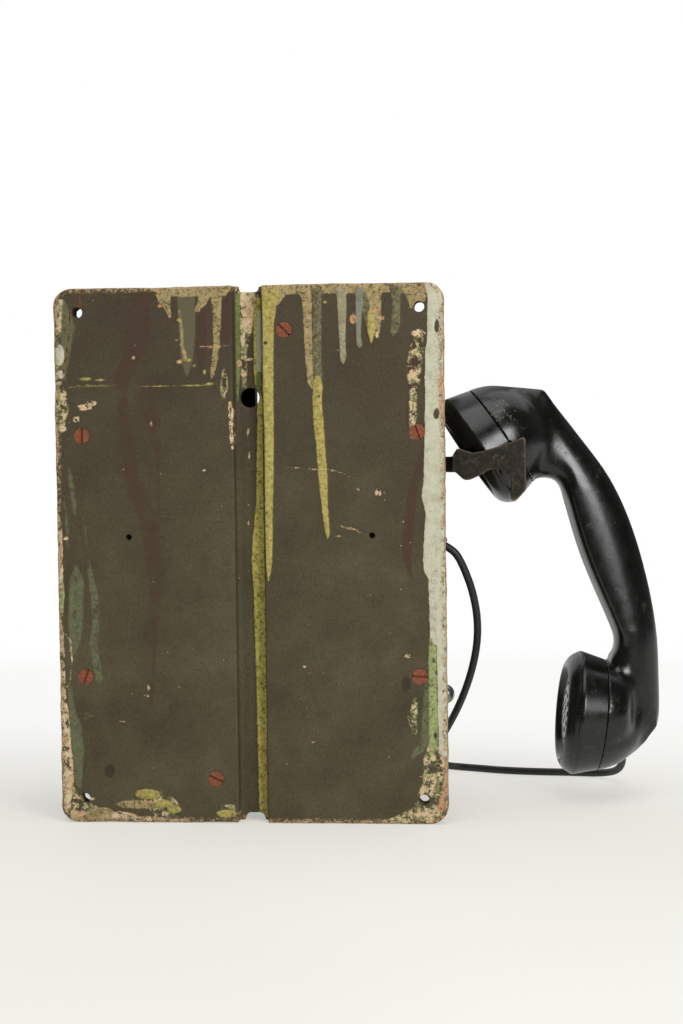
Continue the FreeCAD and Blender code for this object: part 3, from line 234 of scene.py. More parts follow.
def bakelite(worn=True):
    """Black phenolic, handled for decades: faint brown mottle, dull scuffs and fine hairlines."""
    f = Finish("bakelite" if worn else "bakelite_plain")
    colour = f.ramp(f.noise(9, 4), (0.3, 8, 9, 8), (0.55, 13, 13, 11), (0.8, 24, 22, 18))
    dust = f.spots(0.56, 0.72, 5, 6, 0.7, shift=3)
    colour = f.over(colour, (112, 106, 90), dust, 0.12)
    hair = f.noise(0.9, 2, 0.5, at=f.stretch(1, 0.22, 0.35), shift=8)
    patch = f.spots(0.5, 0.7, 14, 2, shift=5)
    colour = f.over(colour, (128, 124, 112), f.times(f.smooth(hair, 0.70, 0.74), patch), 0.3)
    rough = f.straight(f.noise(7, 5, 0.65, shift=1), 0.3, 0.75, 0.19, 0.32)
    rough = f.plus(rough, f.times(dust, 0.18))
    if worn:
        grain = f.noise(1.3, 4, 0.7, at=f.stretch(1, 1, 0.5), shift=71)
        for middle, reach, low, tone in handset_scuffs:
            away = f.add("VectorMath", operation="DISTANCE")
            f.feed(away.inputs[0], f.at)
            away.inputs[1].default_value = middle
            near = f.smooth(away.outputs["Value"], reach * 0.4, reach * 2.2, 1, 0)
            scuff = f.times(near, f.smooth(grain, low, low + 0.05))
            colour = f.over(colour, tone, scuff, 0.7)
            rough = f.plus(rough, f.times(scuff, 0.3))
        # A lighter brown line along the mould seam: a painted highlight on its ridge.
        seam_highlight = f.plus(f.attribute("seam_highlight"), f.times(f.noise(6, 3, shift=73), 0.3))
        colour = f.over(colour, (66, 54, 40), f.smooth(seam_highlight, -0.3, 0.15), 0.5)
    normal = f.bump(f.noise(1.1, 3), 0.02)
    return f.done(colour, rough, normal=f.bump(f.noise(24, 2), 0.12, normal))


def iron():
    """Hand-forged iron gone dark brown, with tan wear on its edges and small rust pits."""
    f = Finish("worn_iron")
    mottle = f.noise(4, 6, 0.7)
    colour = f.ramp(mottle, (0.3, 22, 19, 15), (0.5, 38, 33, 25), (0.62, 58, 50, 37), (0.8, 88, 76, 56))
    pits = f.smooth(f.cells(2.6), 0.06, 0.26, 1, 0)
    pale = f.spots(0.58, 0.68, 3, 5, 0.75, shift=4)
    colour = f.over(colour, (112, 100, 78), pale, 0.45)
    colour = f.over(colour, (40, 25, 16), pits, 0.5)
    edge = f.smooth(f.add("NewGeometry").outputs["Pointiness"], 0.51, 0.56)
    colour = f.over(colour, (128, 110, 84), edge, 0.6)
    normal = f.bump(f.minus(f.noise(1.6, 6, 0.7), f.times(pits, 0.5)), 0.25)
    rough = f.straight(mottle, 0.3, 0.7, 0.5, 0.8)
    return f.done(colour, rough, metallic=0.15, normal=normal, specular=0.3)


def metal(name, dark, light, rough_low, rough_high, stain):
    """A worn metal: two tones clouded together, with spots of tarnish or rust."""
    f = Finish(name)
    colour = f.ramp(f.noise(5, 5, 0.6), (0.3, *dark), (0.7, *light))
    rough = f.straight(f.noise(2.5, 4, shift=2), 0.3, 0.7, rough_low, rough_high)
    rust = f.spots(0.56, 0.66, 2.2, 6, 0.75, shift=7)
    rough = f.plus(rough, f.times(rust, 0.35))
    return f.done(f.over(colour, stain, rust), rough, metallic=0.9, normal=f.bump(f.noise(0.5, 2), 0.02))


def rusty_screw():
    f = Finish("rusty_steel")
    colour = f.ramp(f.noise(1.6, 6, 0.7), (0.3, 84, 42, 25), (0.5, 124, 67, 40),
                    (0.65, 142, 81, 51), (0.8, 164, 106, 74))
    return f.done(colour, 0.78, metallic=0.1, normal=f.bump(f.noise(0.8, 6, 0.7), 0.12))


def rubber():
    f = Finish("rubber")
    colour = f.ramp(f.noise(6, 4), (0.3, 24, 25, 24), (0.7, 38, 39, 37))
    dust = f.spots(0.55, 0.75, 3, 5, 0.7, shift=2)
    colour = f.over(colour, (92, 90, 82), dust, 0.25)
    return f.done(colour, f.straight(dust, 0, 1, 0.5, 0.7), normal=f.bump(f.noise(0.7, 3), 0.04))


def enamelled_wire():
    """Enamelled wire laid turn by turn, 0.55 mm thick, banded with painted shade between the turns and
    painted light on their crowns.
    """
    f = Finish("enamelled_wire")
    dark, light = (78, 34, 18), (156, 78, 40)
    wave = f.add("TexWave", bands_direction="Z")
    turn_relief_and_shade = f.texture(wave, None, "Fac", Scale=0.314 / 0.55)
    # The bands mix dark and light with the turns: painted shade in the grooves between turns and painted
    # light on each turn's crown.
    colour = f.over(f.mix(turn_relief_and_shade, dark, light), dark, f.noise(6, 3), 0.4)
    return f.done(colour, 0.32, metallic=0.55, normal=f.bump(turn_relief_and_shade, 0.12))


def card():
    """Waxed card sleeves of the dry cells, with darker stains."""
    f = Finish("card")
    fibres = f.noise(0.7, 5, 0.7, at=f.stretch(1, 1, 0.3))
    colour = f.ramp(fibres, (0.3, 118, 96, 62), (0.7, 150, 126, 86))
    stain = f.spots(0.5, 0.75, 16, 4, shift=3)
    return f.done(f.over(colour, (84, 62, 40), stain, 0.6), 0.7, normal=f.bump(fibres, 0.05))


case_boards = ("case_side_left", "case_side_right", "case_top", "case_bottom", "front_door")
case_ends = np.array([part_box(node) for node in case_boards]) * 1000
case_low, case_high = case_ends[:, 0].min(axis=0), case_ends[:, 1].max(axis=0)


def case_paint():
    """Olive paint over wood: brush streaks, broad soft patches, edges and scuffs rubbed down to old coats."""
    f = Finish("case_paint")
    streak = f.noise(1.4, 4, 0.6, at=f.stretch(1, 1, 0.06))
    cloud = f.noise(38, 4, 0.6)
    colour = f.ramp(cloud, (0.3, 76, 69, 51), (0.7, 90, 82, 61))
    ragged = f.times(f.minus(f.noise(3, 5, 0.7, shift=12), 0.5), 0.10)
    for size, shift, low, tones in ((60, 41, 0.55, ((100, 103, 74), (84, 88, 60))),
                                    (44, 87, 0.60, ((134, 126, 84), (112, 104, 70))),
                                    (36, 63, 0.64, ((150, 146, 120), (128, 126, 100)))):
        patch = f.plus(f.noise(size, 3, 0.5, shift=shift), ragged)
        tone = f.mix(f.spots(0.35, 0.65, 5, 5, 0.7, shift=shift + 9), *tones)
        colour = f.over(colour, tone, f.smooth(patch, low, low + 0.03, 0, 0.85))
    colour = f.over(colour, (66, 60, 44), f.smooth(streak, 0.5, 0.8), 0.35)
    # The distance from the nearest edge of the case is the middle one of those to its faces.
    halves, middles = (case_high - case_low) / 2, (case_high + case_low) / 2
    a, b, c = (f.minus(half, f.math("ABSOLUTE", f.minus(axis, middle)))
               for axis, half, middle in zip((f.x, f.y, f.z), halves, middles))
    edge = f.most(f.math("MINIMUM", a, b), f.math("MINIMUM", f.most(a, b), c))
    chip = f.times(f.minus(f.noise(6, 7, 0.75), 0.52), 14)
    worn = f.smooth(f.minus(chip, edge), -0.8, -0.3)
    coats = f.ramp(f.noise(7, 3, shift=6), (0.40, 176, 160, 128), (0.48, 118, 126, 84),
                   (0.56, 92, 84, 60), (0.66, 150, 124, 96))
    colour = f.over(colour, coats, worn)
    colour = f.over(colour, (138, 122, 92), f.spots(0.68, 0.71, 3.2, 6, 0.8, shift=9), 0.7)
    height = f.minus(f.times(streak, 0.35), worn)
    return f.done(colour, f.straight(cloud, 0.3, 0.7, 0.5, 0.62), normal=f.bump(height, 0.12))


paints = {
    "painted_wood": case_paint(),
    "rusty_steel": rusty_screw(),
    "worn_iron": iron(),
    "bakelite": bakelite(worn=False),
    "rubber": rubber(),
    "enamelled_wire": enamelled_wire(),
    "card": card(),
}
for name, *look in (
        ("brass", (116, 98, 62), (156, 136, 90), 0.34, 0.55, (80, 64, 40)),
        ("gear_brass", (150, 118, 58), (196, 164, 92), 0.22, 0.4, (96, 70, 36)),
        ("bare_steel", (112, 110, 106), (158, 156, 150), 0.28, 0.48, (92, 66, 48)),
        ("cast_iron", (44, 45, 46), (66, 66, 64), 0.5, 0.7, (80, 54, 38)),
        ("magnet_steel", (92, 32, 28), (128, 44, 36), 0.4, 0.6, (64, 40, 34)),
        ("tin", (128, 126, 118), (166, 164, 154), 0.34, 0.55, (98, 92, 78)),
        ("nickel", (120, 118, 112), (164, 160, 152), 0.2, 0.38, (84, 78, 66))):
    paints[name] = metal(name, *look)
for node in nodes.values():
    for holder in node.material_slots:
        kind = holder.material.name.split(".")[0]
        if kind in paints:
            holder.material = paints[kind]


# ---------- backboard
# Paint on the back of the board. u runs to the right as seen from behind, z up, both in
# millimetres. A run is a list of (z, middle u, half width); a fleck is (u, z, half u, half z).
runs = {"maroon": [
    [(55.8, 89.4, 0.6), (47.7, 87.8, 1.8), (40.2, 85.5, 2.3), (30.1, 83.1, 2.3), (15, 81.4, 2.5),
     (4.9, 80.5, 2.5), (-2.7, 80.2, 2.1), (-10.3, 81.9, 0.9), (-11.9, 82.1, 0.1)],
    [(109.1, 86, 2.5), (103.1, 84.9, 3.5), (88.1, 84.7, 3.5), (83, 83.7, 2), (65.5, 81.4, 1)],
], "stain": [
    [(133.4, -54.5, 5.2), (115.6, -55.3, 6.2), (102.9, -58.1, 5.2), (92.9, -64.5, 4.7), (82.7, -64.9, 2.6),
     (67.3, -63.4, 2.8), (54, -61.5, 3.6), (41.7, -60.7, 3.6), (31.5, -57.7, 4.7), (21.2, -52.7, 4.7),
     (0.7, -50.7, 3.6), (-22.4, -50.3, 1.8), (-45.6, -49.9, 1), (-68.2, -51.6, 0.9), (-76.5, -51.7, 0.5)],
    [(87.6, -52.1, 2.6), (77.4, -51.8, 4.7), (67.1, -48.9, 2.6), (56.9, -47, 1.6), (44.1, -46.7, 0.6)],
    [(67.1, -46.5, 0.5), (44.1, -46.5, 0.7), (-1.9, -47.2, 0.6), (-22.4, -47.4, 0.6), (-35.3, -47.6, 0.2)],
], "purple": [
    [(127.7, -22.1, 1), (120.1, -22.8, 2.6), (104.9, -23.5, 2.8), (93.8, -24.2, 1)],
    [(133, -9.7, 3.1), (124.9, -9.9, 3.3), (114.8, -10.3, 3.3), (109.8, -10.6, 2.6), (107.2, -10.6, 0.3)],
], "tint": [
    [(-4.7, -90.2, 0.5), (-11.9, -89.8, 3.7), (-32.6, -90.7, 3.9), (-42.9, -91.4, 3.1), (-49.6, -92.5, 1)],
    [(44.6, -92.9, 0.5), (36.9, -91.8, 1.1), (26.6, -90.6, 1), (21.5, -90.2, 0.2)],
    [(-66.2, -94.9, 1), (-80.2, -93.6, 1.6), (-86.9, -92.2, 3.1), (-99.9, -91.4, 3.7), (-110.2, -92.1, 3.4),
     (-118, -90.6, 1.6), (-120.6, -90.2, 0.3)],
    [(-61.6, 90.2, 0.5), (-68.8, 89.6, 1.3), (-84, 88.6, 1.8), (-94.2, 88.6, 1.8), (-100.4, 84.7, 2.3),
     (-102.9, 82.1, 0.5)],
    [(130, -95, 2), (118, -92, 3.4), (104, -94, 2.6), (92, -95, 1.2)],
], "sage": [
    [(-1.7, -83.8, 0.3), (-9.4, -82.7, 1.4), (-22.3, -80.5, 1.9), (-35.2, -80.2, 1.9), (-45.5, -82, 1.8),
     (-53.3, -80.6, 2.1), (-61.5, -79.1, 1.9), (-65.1, -79.5, 1.3), (-65.7, -79.5, 0.1)],
    [(31, -96, 0.3), (22, -95, 0.7), (10, -94.2, 0.7), (4, -94.4, 0.2)],
    [(20, -86, 0.2), (12, -84.8, 0.5), (4, -84.4, 0.2)],
    [(-14, -92.8, 0.3), (-24, -92.6, 0.6), (-36, -92.9, 0.3)],
    [(-81, -86.5, 0.5), (-82.2, -83, 1.6), (-83.4, -86.5, 0.5)],
], "grey": [
    [(132.4, -30.8, 4.6), (115.2, -30.5, 4.1), (100, -30.8, 3.1), (91.8, -30.9, 0.5)],
], "khaki": [
    [(136.3, 29.6, 4.6), (129.2, 31, 2.3), (114.1, 31.4, 2), (99, 31.7, 1.9), (87.3, 32.5, 1.8),
     (84.3, 33.5, 0.5)],
    [(135.6, 64.6, 6.1), (130.1, 64.5, 4), (121, 65.4, 3), (115, 65.3, 2.7), (112, 65.8, 1.5),
     (110.5, 65.8, 0.2)],
    [(124.9, -34.5, 0.5), (117.8, -33.6, 0.8), (107.6, -33.2, 0.8), (101, -31.8, 1), (99, -31.3, 0.2)],
    [(134.1, -15.4, 3.1), (125, -15, 2.2), (109.9, -15.5, 1.8), (99.7, -16.6, 1.4), (92.1, -18, 0.9),
     (90.6, -18.3, 0.1)],
    [(137.5, 48, 42), (134.6, 46, 40), (133.2, 44, 36)],
    [(137.5, -29, 22.5), (135, -28, 20), (133, -24, 14)],
    [(132.8, -42.5, 4), (129.5, -42, 3), (126, -40.5, 1.6), (122.5, -39.4, 1)],
    [(134, -21, 3), (128.5, -22.5, 2.6), (125.5, -25, 1.4)],
    [(134, 84, 7.5), (131.5, 86, 5.5), (127.5, 86.4, 4.2), (125.2, 85, 2)],
    [(135, 15, 6.5), (131, 14.8, 4.8), (127.5, 13.4, 3.2)],
], "speckled": [
    [(136.2, 35.7, 3), (129.1, 36.1, 2.2), (98.9, 35.7, 2.1), (88.8, 36.1, 2.3), (84.7, 36.1, 1)],
    [(135.4, 76.2, 3.5), (129.9, 76.1, 2.2), (115.8, 75.7, 2.1), (112.8, 74.9, 2.2), (110.3, 74.1, 0.3)],
    [(132, 58, 3.4), (126, 60.5, 2.4), (118, 61.5, 1.2), (112, 62.4, 0.6)],
], "pale": [
    [(135.9, 48.4, 3.5), (132.9, 48.6, 2.5), (121.3, 48.7, 2.1), (108.3, 48.7, 1.5), (101.2, 49, 1.6),
     (98.2, 48.9, 1.2), (96.7, 48.9, 0.2)],
], "blue": [
    [(134.7, 58, 2.5), (132.7, 57.7, 1.9), (118.7, 57, 1.5), (111.1, 56.9, 1.1), (106.1, 57.4, 1.4),
     (104.6, 57.4, 0.2)],
], "yellow": [
    [(135.6, 12.3, 4.6), (127.1, 11.7, 3.8), (117, 11, 2.9), (84.1, 10.6, 2.7), (63.8, 10.8, 2.4),
     (43.5, 10.6, 2.2), (18.1, 10.1, 1.9), (-2.3, 9.9, 1.6), (-8.9, 9.6, 1.1), (-13, 9.4, 0.2)],
    [(89.8, 35.9, 1.5), (85.8, 36, 2.5), (78.7, 35.5, 2.3), (66, 36.1, 2.6), (55.9, 37, 2.3),
     (40.7, 37.9, 2.3), (30.6, 38.3, 1.9), (22.4, 38.9, 1.6), (12.3, 39.9, 1.2), (8.2, 40, 0.2)],
    [(122.6, 63.4, 1.8), (114.5, 63.3, 1.9), (110, 63.4, 1.3), (107, 63.2, 0.2)],
], "mint": [
    [(136.5, 96, 5.5), (130.5, 96.2, 4.2), (110.5, 96, 4.4), (102.4, 95.4, 5), (80.4, 95.2, 5),
     (40.1, 94.5, 5.3), (30, 94.2, 6.1), (19.9, 95.1, 5.3), (-2.8, 94.3, 6.1), (-9.4, 94.8, 5.9),
     (-13, 95.5, 4.4), (-43.9, 95.9, 4.5), (-46.4, 97.9, 3), (-73.9, 97.9, 3), (-100.3, 98.1, 2.8),
     (-103.4, 99.4, 1.5), (-106.4, 100.9, 0.2)],
], "lime": [
    [(-43.4, 91.9, 0.8), (-47.4, 92.6, 1.8), (-68.8, 92.6, 2), (-84, 92.7, 2.2), (-96.8, 92.6, 2.2),
     (-100.4, 91.8, 1.3), (-102.9, 91.3, 0.2)],
    [(-2, -98.6, 1), (-20, -98, 1.6), (-28, -98.2, 1)],
], "salmon": [
    [(92.4, 98.3, 0.3), (88.9, 98.1, 1.3), (77.8, 98.2, 1.3), (68.8, 98.8, 1), (65.2, 99.1, 0.3)],
    [(-104, 99.4, 0.8), (-112, 99, 1.2), (-122, 98.4, 1.8), (-130, 96, 2.4)],
], "cream": [
    [(-30, -99.4, 0.5), (-38.5, -98.6, 1.3), (-50, -98.6, 1.5), (-66.8, -98.4, 1.5), (-75, -97.8, 1.8),
     (-82.3, -97.6, 2.2), (-90, -97.2, 2.4), (-105, -96.6, 2.8), (-115, -96.2, 3), (-123.6, -96.6, 2.4),
     (-131.3, -96.8, 1.4)],
    [(22, -99.2, 0.5), (15, -98.6, 1.4), (0, -98.4, 1.5), (-12, -98.4, 1.2), (-22, -99, 0.5)],
    [(66, -99.4, 0.6), (56, -99, 1), (46, -99.5, 0.4)],
    [(78, -9, 0.5), (74, -8.7, 1.2), (68, -8.6, 0.9), (62, -8.5, 1), (55, -8.3, 0.6)],
], "flaky": [
    [(134, 0, 5.2), (124, -0.5, 4.6), (116, -1.4, 3.2), (104, -2.6, 1.6), (84, -2.8, 0.8)],
    [(112, 87.5, 1.2), (104, 86.5, 4), (92, 84.5, 3.4), (84, 84.5, 2.2), (66, 83.8, 1.6), (58, 83.5, 0.4)],
    [(128, 97.5, 1.2), (116, 97, 2.6), (96, 96.5, 2), (80, 97, 1.4), (60, 98.4, 0.6)],
    [(10, 94.6, 0.4), (0, 93.6, 1.6), (-12, 93, 2.2), (-22, 92.6, 1.4), (-40, 93.2, 1.6), (-46, 92, 0.6)],
    [(-74, 84, 1), (-82, 82, 2.4), (-90, 83, 1.2)],
    [(-96, 92, 2), (-104, 93, 5), (-116, 93, 6), (-128, 90, 7.5), (-134, 84, 12), (-137.4, 76, 20)],
    [(89, -97.5, 1.4), (84, -96.5, 2.8), (76, -96, 3.4), (66, -97.5, 2.2), (60, -98.8, 0.8)],
    [(131, -97, 2.4), (112, -98, 2), (92, -98.6, 1.4)],
    [(95.5, -11.5, 0.5), (92, -11.8, 1.6), (84, -12.2, 2), (81, -12, 0.6)],
    [(-118, -95, 1.2), (-126, -92, 4), (-131, -86, 9), (-137.5, -70, 26)],
    [(-122, -52, 8), (-127, -48, 9), (-133, -45, 6)],
    [(-129, -13, 3), (-133, -12.5, 4)],
], "groove_yellow": [
    [(130.3, 4.5, 1.8), (92.1, 4.2, 1.9), (83.4, 4.8, 1.2), (76.7, 5.3, 1.4), (28.1, 4.6, 1.9),
     (7.5, 3.5, 3.1), (-2.8, 3.6, 3.7), (-23.4, 4.1, 3.4), (-75, 4.2, 2.7), (-126.9, 4.2, 2.3),
     (-134.7, 4.4, 2.3)],
], "groove_mint": [
    [(124.2, 5.7, 0.8), (115, 5.6, 1.3), (94.6, 5.2, 1.2), (91.5, 5.2, 0.2)],
], "groove_green": [
    [(92.6, 5, 1.1), (89.5, 4.9, 1.5), (81.8, 4.6, 1.3), (79.3, 4.5, 0.3)],
    [(133, -6.6, 2.4), (114.7, -6.6, 2.2), (94.5, -6.6, 2), (80, -6.8, 1)],
], "groove_cream": [
    [(134, -0.1, 3.1), (130.4, -0.2, 4.1), (124.3, -0.5, 3.4), (119.2, -0.8, 1.5), (115.1, -2.4, 0.5),
     (107.5, -3.1, 1), (106, -3.1, 0.2)],
]}
flecks = {"cream": [
    (-84, 76.6, 3.6, 1.6), (-80.5, 78.6, 2.4, 1.2), (-88.8, 70.6, 1.6, 1.4), (-96, 65.8, 1.9, 1.6),
    (-58.4, 101.6, 0.9, 0.9), (-34.4, 99.4, 0.8, 0.8), (87.5, 111.6, 3.4, 1.6), (66.6, 111, 0.7, 1.2),
    (55.6, 33, 0.7, 1.3), (65.2, 32, 0.5, 1.1), (67, 31.6, 0.5, 1.2), (-49.8, 67.8, 0.4, 1),
    (50.4, 13.6, 1, 0.35), (-53.4, -67.4, 0.4, 1.3), (-54.2, -72, 1.2, 0.6), (81, -51.6, 2, 0.9),
    (-11.6, -93.6, 0.4, 0.6), (-69.4, -134.3, 9, 2.6), (-58, -135.4, 14, 1.3), (-38, -136.2, 12, 0.9),
    (-91.5, -132.8, 5, 1.8), (30, -136.7, 22, 0.7), (60, -136.5, 14, 0.9), (78.5, 16.8, 0.4, 0.4),
    (-23, 43.6, 0.7, 0.35), (36.8, -60.2, 1, 0.5), (27.6, -56.8, 1, 0.5), (-64.6, 44.6, 0.4, 0.4),
    (-1.6, 16, 0.5, 1.6), (-1.2, 27, 0.4, 1.1), (-0.6, 51, 0.35, 1.9), (-1.4, -9, 0.7, 1.2),
    (-1, 63, 0.4, 1.8), (-5.2, 97.6, 1.3, 2.2), (0.4, 100.2, 2, 0.7), (-97.4, 53, 0.6, 1.2),
    (-94.8, 9.5, 1.4, 0.9), (77.2, -17.6, 0.35, 0.35), (-86, -125, 3.2, 0.8), (31.4, -95.4, 0.9, 0.4),
], "salmon": [
    (-44.5, 127.5, 1.3, 0.9), (-39.6, 122.4, 0.9, 0.9), (-5, 97.8, 1.4, 1.6), (-67, -85, 1.9, 0.45),
    (-54, -126.6, 3, 0.6), (54.4, 119.4, 1.8, 2.6), (65.5, 123, 1.4, 0.8), (68.6, 119.6, 1.6, 1),
    (-34.6, 99.2, 1.4, 0.9), (86, -113, 1.2, 0.4),
], "yellow": [
    (-84, 91, 3.2, 0.7), (-76, 90.4, 2.4, 0.6), (-79, 88, 6, 0.25), (-45, 86.9, 6, 0.3), (-28, 87, 6.5, 0.42),
    (-19.6, 87.8, 1.8, 0.5), (-30, 99.8, 1.4, 0.9), (-36, 110, 0.8, 0.6), (-34.8, 120.4, 1.2, 1),
    (-27, 97, 0.9, 0.7), (-22, 93.6, 0.8, 1.4), (40, 128, 1, 0.7), (-54.6, -122.6, 6.6, 2.6),
    (-46.6, -127.4, 4.6, 2), (-41, -130.5, 3.6, 1.8), (45.4, 9.6, 1.4, 0.5), (-13.7, -132.4, 5.2, 2),
    (-6.4, -132.6, 1.4, 1.2), (79.5, -69, 1.4, 0.6),
], "khaki": [
    (14, 136, 9, 3), (-84, -134, 11, 2.2), (-60, -128, 10, 2.2), (-79, -132.5, 6, 2.8),
], "mint": [
    (-97, 103.6, 2.6, 5.6), (-96.6, 93.6, 2.2, 2.2),
], "dark": [
    (95.8, 70.8, 1.5, 2.6), (-74.4, -110.6, 2.6, 3.4), (-11.8, 88, 1.2, 3.4), (79, -66, 2.4, 4.2),
    (93.2, -54, 0.8, 1.4), (93.6, -92, 1, 1.8), (-95.4, -92, 0.9, 4), (-94.6, -112, 1.2, 3),
    (-97.6, -72, 0.8, 3), (9.6, 108, 1, 0.8), (36.6, 80.6, 0.7, 0.7), (96.5, 115, 1.2, 3.4),
]}
scratches = {
    "crack": [[(-84.7, 137.5), (-85.3, 129), (-87, 126.5)], [(-91, 126), (-92.2, 112), (-95.2, 93)]],
    "yellow": [[(-92.7, 86.8), (-60, 86.4), (-19.1, 87.3)]],
    "salmon": [[(-24, 106.6), (-8.6, 107)], [(-19, 106), (-14, 106.2)]],
    "cream": [
        [(-97, -38.5), (-93.8, -43), (-93, -55), (-94.5, -65), (-97, -69)],
        [(20, 44.8), (44, 43), (54, 39)],
        [(47, 14.6), (54, 13), (58, 10.4)],
    ],
}
line_half = {"crack": 0.36, "yellow": 0.02}
other_line_half = 0.28
groove_half = 7.5
board_half = (100.0, 137.5)
board_corner = 9.0
least_depth, most_depth = -6.0, 4.0


def run_depth(run, u, z):
    """How far inside a run of paint each point lies, in millimetres; negative is outside."""
    levels, middles, halves = np.array(sorted(run)).T
    inside = np.clip(z, levels[0], levels[-1])
    half = np.interp(inside, levels, halves)
    across = half - np.abs(u - np.interp(inside, levels, middles))
    beyond = np.abs(z - inside)
    return np.where(beyond > 0, np.minimum(across, np.minimum(half, 1.0) - beyond), across)


def fleck_depth(fleck, u, z):
    cu, cz, ru, rz = fleck
    return (1 - np.hypot((u - cu) / ru, (z - cz) / rz)) * min(ru, rz)


def line_depth(line, u, z):
    """Minus the distance from a line of straight runs."""
    best = np.full(len(u), 1e3)
    for (u0, z0), (u1, z1) in zip(line, line[1:]):
        du, dz = u1 - u0, z1 - z0
        t = np.clip(((u - u0) * du + (z - z0) * dz) / (du * du + dz * dz), 0, 1)
        best = np.minimum(best, np.hypot(u - u0 - t * du, z - z0 - t * dz))
    return -best


def paint_depth(name, u, z):
    half = line_half.get(name, other_line_half)
    found = [run_depth(run, u, z) for run in runs.get(name, [])]
    found += [fleck_depth(fleck, u, z) for fleck in flecks.get(name, [])]
    found += [line_depth(line, u, z) + half for line in scratches.get(name, [])]
    return np.clip(np.max(found, axis=0), least_depth, most_depth)


def rim_depth(u, z):
    """Distance in from the board's rounded outline."""
    qu = np.abs(u) - board_half[0] + board_corner
    qz = np.abs(z) - board_half[1] + board_corner
    out = np.hypot(np.maximum(qu, 0), np.maximum(qz, 0)) + np.minimum(np.maximum(qu, qz), 0)
    return board_corner - out


weld_mm = 0.004


def remould(node, name, grid_mm):
    """A CAD node's form in even quads, drawn back on to it, as a new object in its place."""
    source = nodes[node]
    mesh = source.data.copy()
    melt = bmesh.new()
    melt.from_mesh(mesh)
    bmesh.ops.remove_doubles(melt, verts=melt.verts, dist=weld_mm * MM)
    melt.to_mesh(mesh)
    melt.free()
    thing = add_object(name, mesh)
    grid = thing.modifiers.new("grid", "REMESH")
    grid.mode = "VOXEL"
    grid.voxel_size = grid_mm * MM
    wrap = thing.modifiers.new("wrap", "SHRINKWRAP")
    wrap.target = source
    wrap.wrap_method = "NEAREST_SURFACEPOINT"
    fixed = bpy.data.meshes.new_from_object(thing.evaluated_get(bpy.context.evaluated_depsgraph_get()))
    thing.modifiers.clear()
    thing.data = fixed
    fixed.materials.clear()
    fixed.polygons.foreach_set("use_smooth", [True] * len(fixed.polygons))
    return thing


def read(items, key, width, kind=np.float32):
    """One value of every item, as rows of so many numbers."""
    flat = np.empty(len(items) * width, kind)
    items.foreach_get(key, flat)
    return flat.reshape(-1, width)


def points_of(mesh):
    return read(mesh.vertices, "co", 3).astype(float)


def normals_of(mesh):
    return read(mesh.vertex_normals, "vector", 3).astype(float)


def links_of(mesh):
    return read(mesh.edges, "vertices", 2, np.int32)


def set_points(mesh, points):
    mesh.vertices.foreach_set("co", points.astype(np.float32).ravel())
    mesh.update()


def set_layer(mesh, name, values):
    layer = mesh.attributes.new(name, "FLOAT", "POINT")
    layer.data.foreach_set("value", values.astype(np.float32))


def ripple(*axes, seed):
    """Smooth seeded noise from -1 to 1: sines at four sizes in turned directions."""
    source = np.random.default_rng(seed)
    total = np.zeros(len(axes[0]))
    weight = 0.0
    for octave in range(4):
        for _ in range(5):
            way = source.normal(size=len(axes))
            way *= 2.0**octave / np.linalg.norm(way)
            total += np.sin(sum(a * w for a, w in zip(axes, way)) + source.uniform(0, 6.28)) * 0.6**octave
            weight += 0.5 * 0.6 ** (2 * octave)
    return np.clip(total / (2.2 * math.sqrt(weight)), -1, 1)


def soft_step(value, low, high):
    t = np.clip((value - low) / (high - low), 0, 1)
    return t * t * (3 - 2 * t)


board = remould("backboard", "painted_board", board_grid)
mesh = board.data
points, normals = points_of(mesh), normals_of(mesh)
u, y, z = -points[:, 0] * 1000, points[:, 1] * 1000, points[:, 2] * 1000
on_back = soft_step(y, -1.2, -0.4)
in_groove = soft_step(-y, 6.6, 7.4) * soft_step(groove_half + 0.4 - np.abs(u), 0, 0.4)
# Some coats stop at the groove, and some run on over its floor. The front of the board has neither.
stop_at_groove = ("yellow", "mint", "khaki")
run_through = ("cream", "salmon", "flaky")
board_front = -11.0
depths = {}
for name in sorted(set(runs) | set(flecks) | set(scratches)):
    ground = in_groove if name.startswith("groove") else np.maximum(on_back, in_groove)
    if name in stop_at_groove + run_through:
        ground = np.where(np.abs(u) < groove_half - 0.3, in_groove if name in run_through else 0, 1)
        ground = np.where(y < board_front, 0, ground)
    depths[name] = np.where(ground > 0.5, paint_depth(name, u, z), least_depth)
    set_layer(mesh, name, depths[name])
rim = rim_depth(u, z)
set_layer(mesh, "rim", rim)

# How far each coat stands out from the board, or goes into it, in millimetres.
thick = {"yellow": 0.42, "khaki": 0.2, "speckled": 0.3, "pale": 0.34, "blue": 0.32, "mint": 0.22, "lime": 0.2,
         "groove_yellow": 0.6, "groove_mint": 0.25, "sage": 0.1, "cream": -0.16, "dark": -0.22,
         "salmon": -0.08, "crack": -0.7}
edge_wear = 0.55
most_proud = 0.75
lumps = ripple(u / 2.2, z / 3.0, seed=3)
lift = np.zeros(len(points))
for name, height in thick.items():
    lift += height * soft_step(depths[name], -0.5, 0.9) * (1 + (0.45 * lumps if height > 0 else 0))
lift += np.maximum(on_back, in_groove) * 0.035 * ripple(u / 7.0, z / 9.0, seed=5)
facing = np.clip(normals[:, 1], 0, 1) ** 2
points[:, 1] += lift * facing * MM
wear = soft_step(-rim, -2.4, 0.2) * (0.5 + 0.5 * ripple(u / 4.0, z / 4.0, y / 6.0, seed=9))
points -= normals * (wear * edge_wear)[:, None] * MM
points[:, 1] = np.minimum(points[:, 1], most_proud * MM)
set_points(mesh, points)


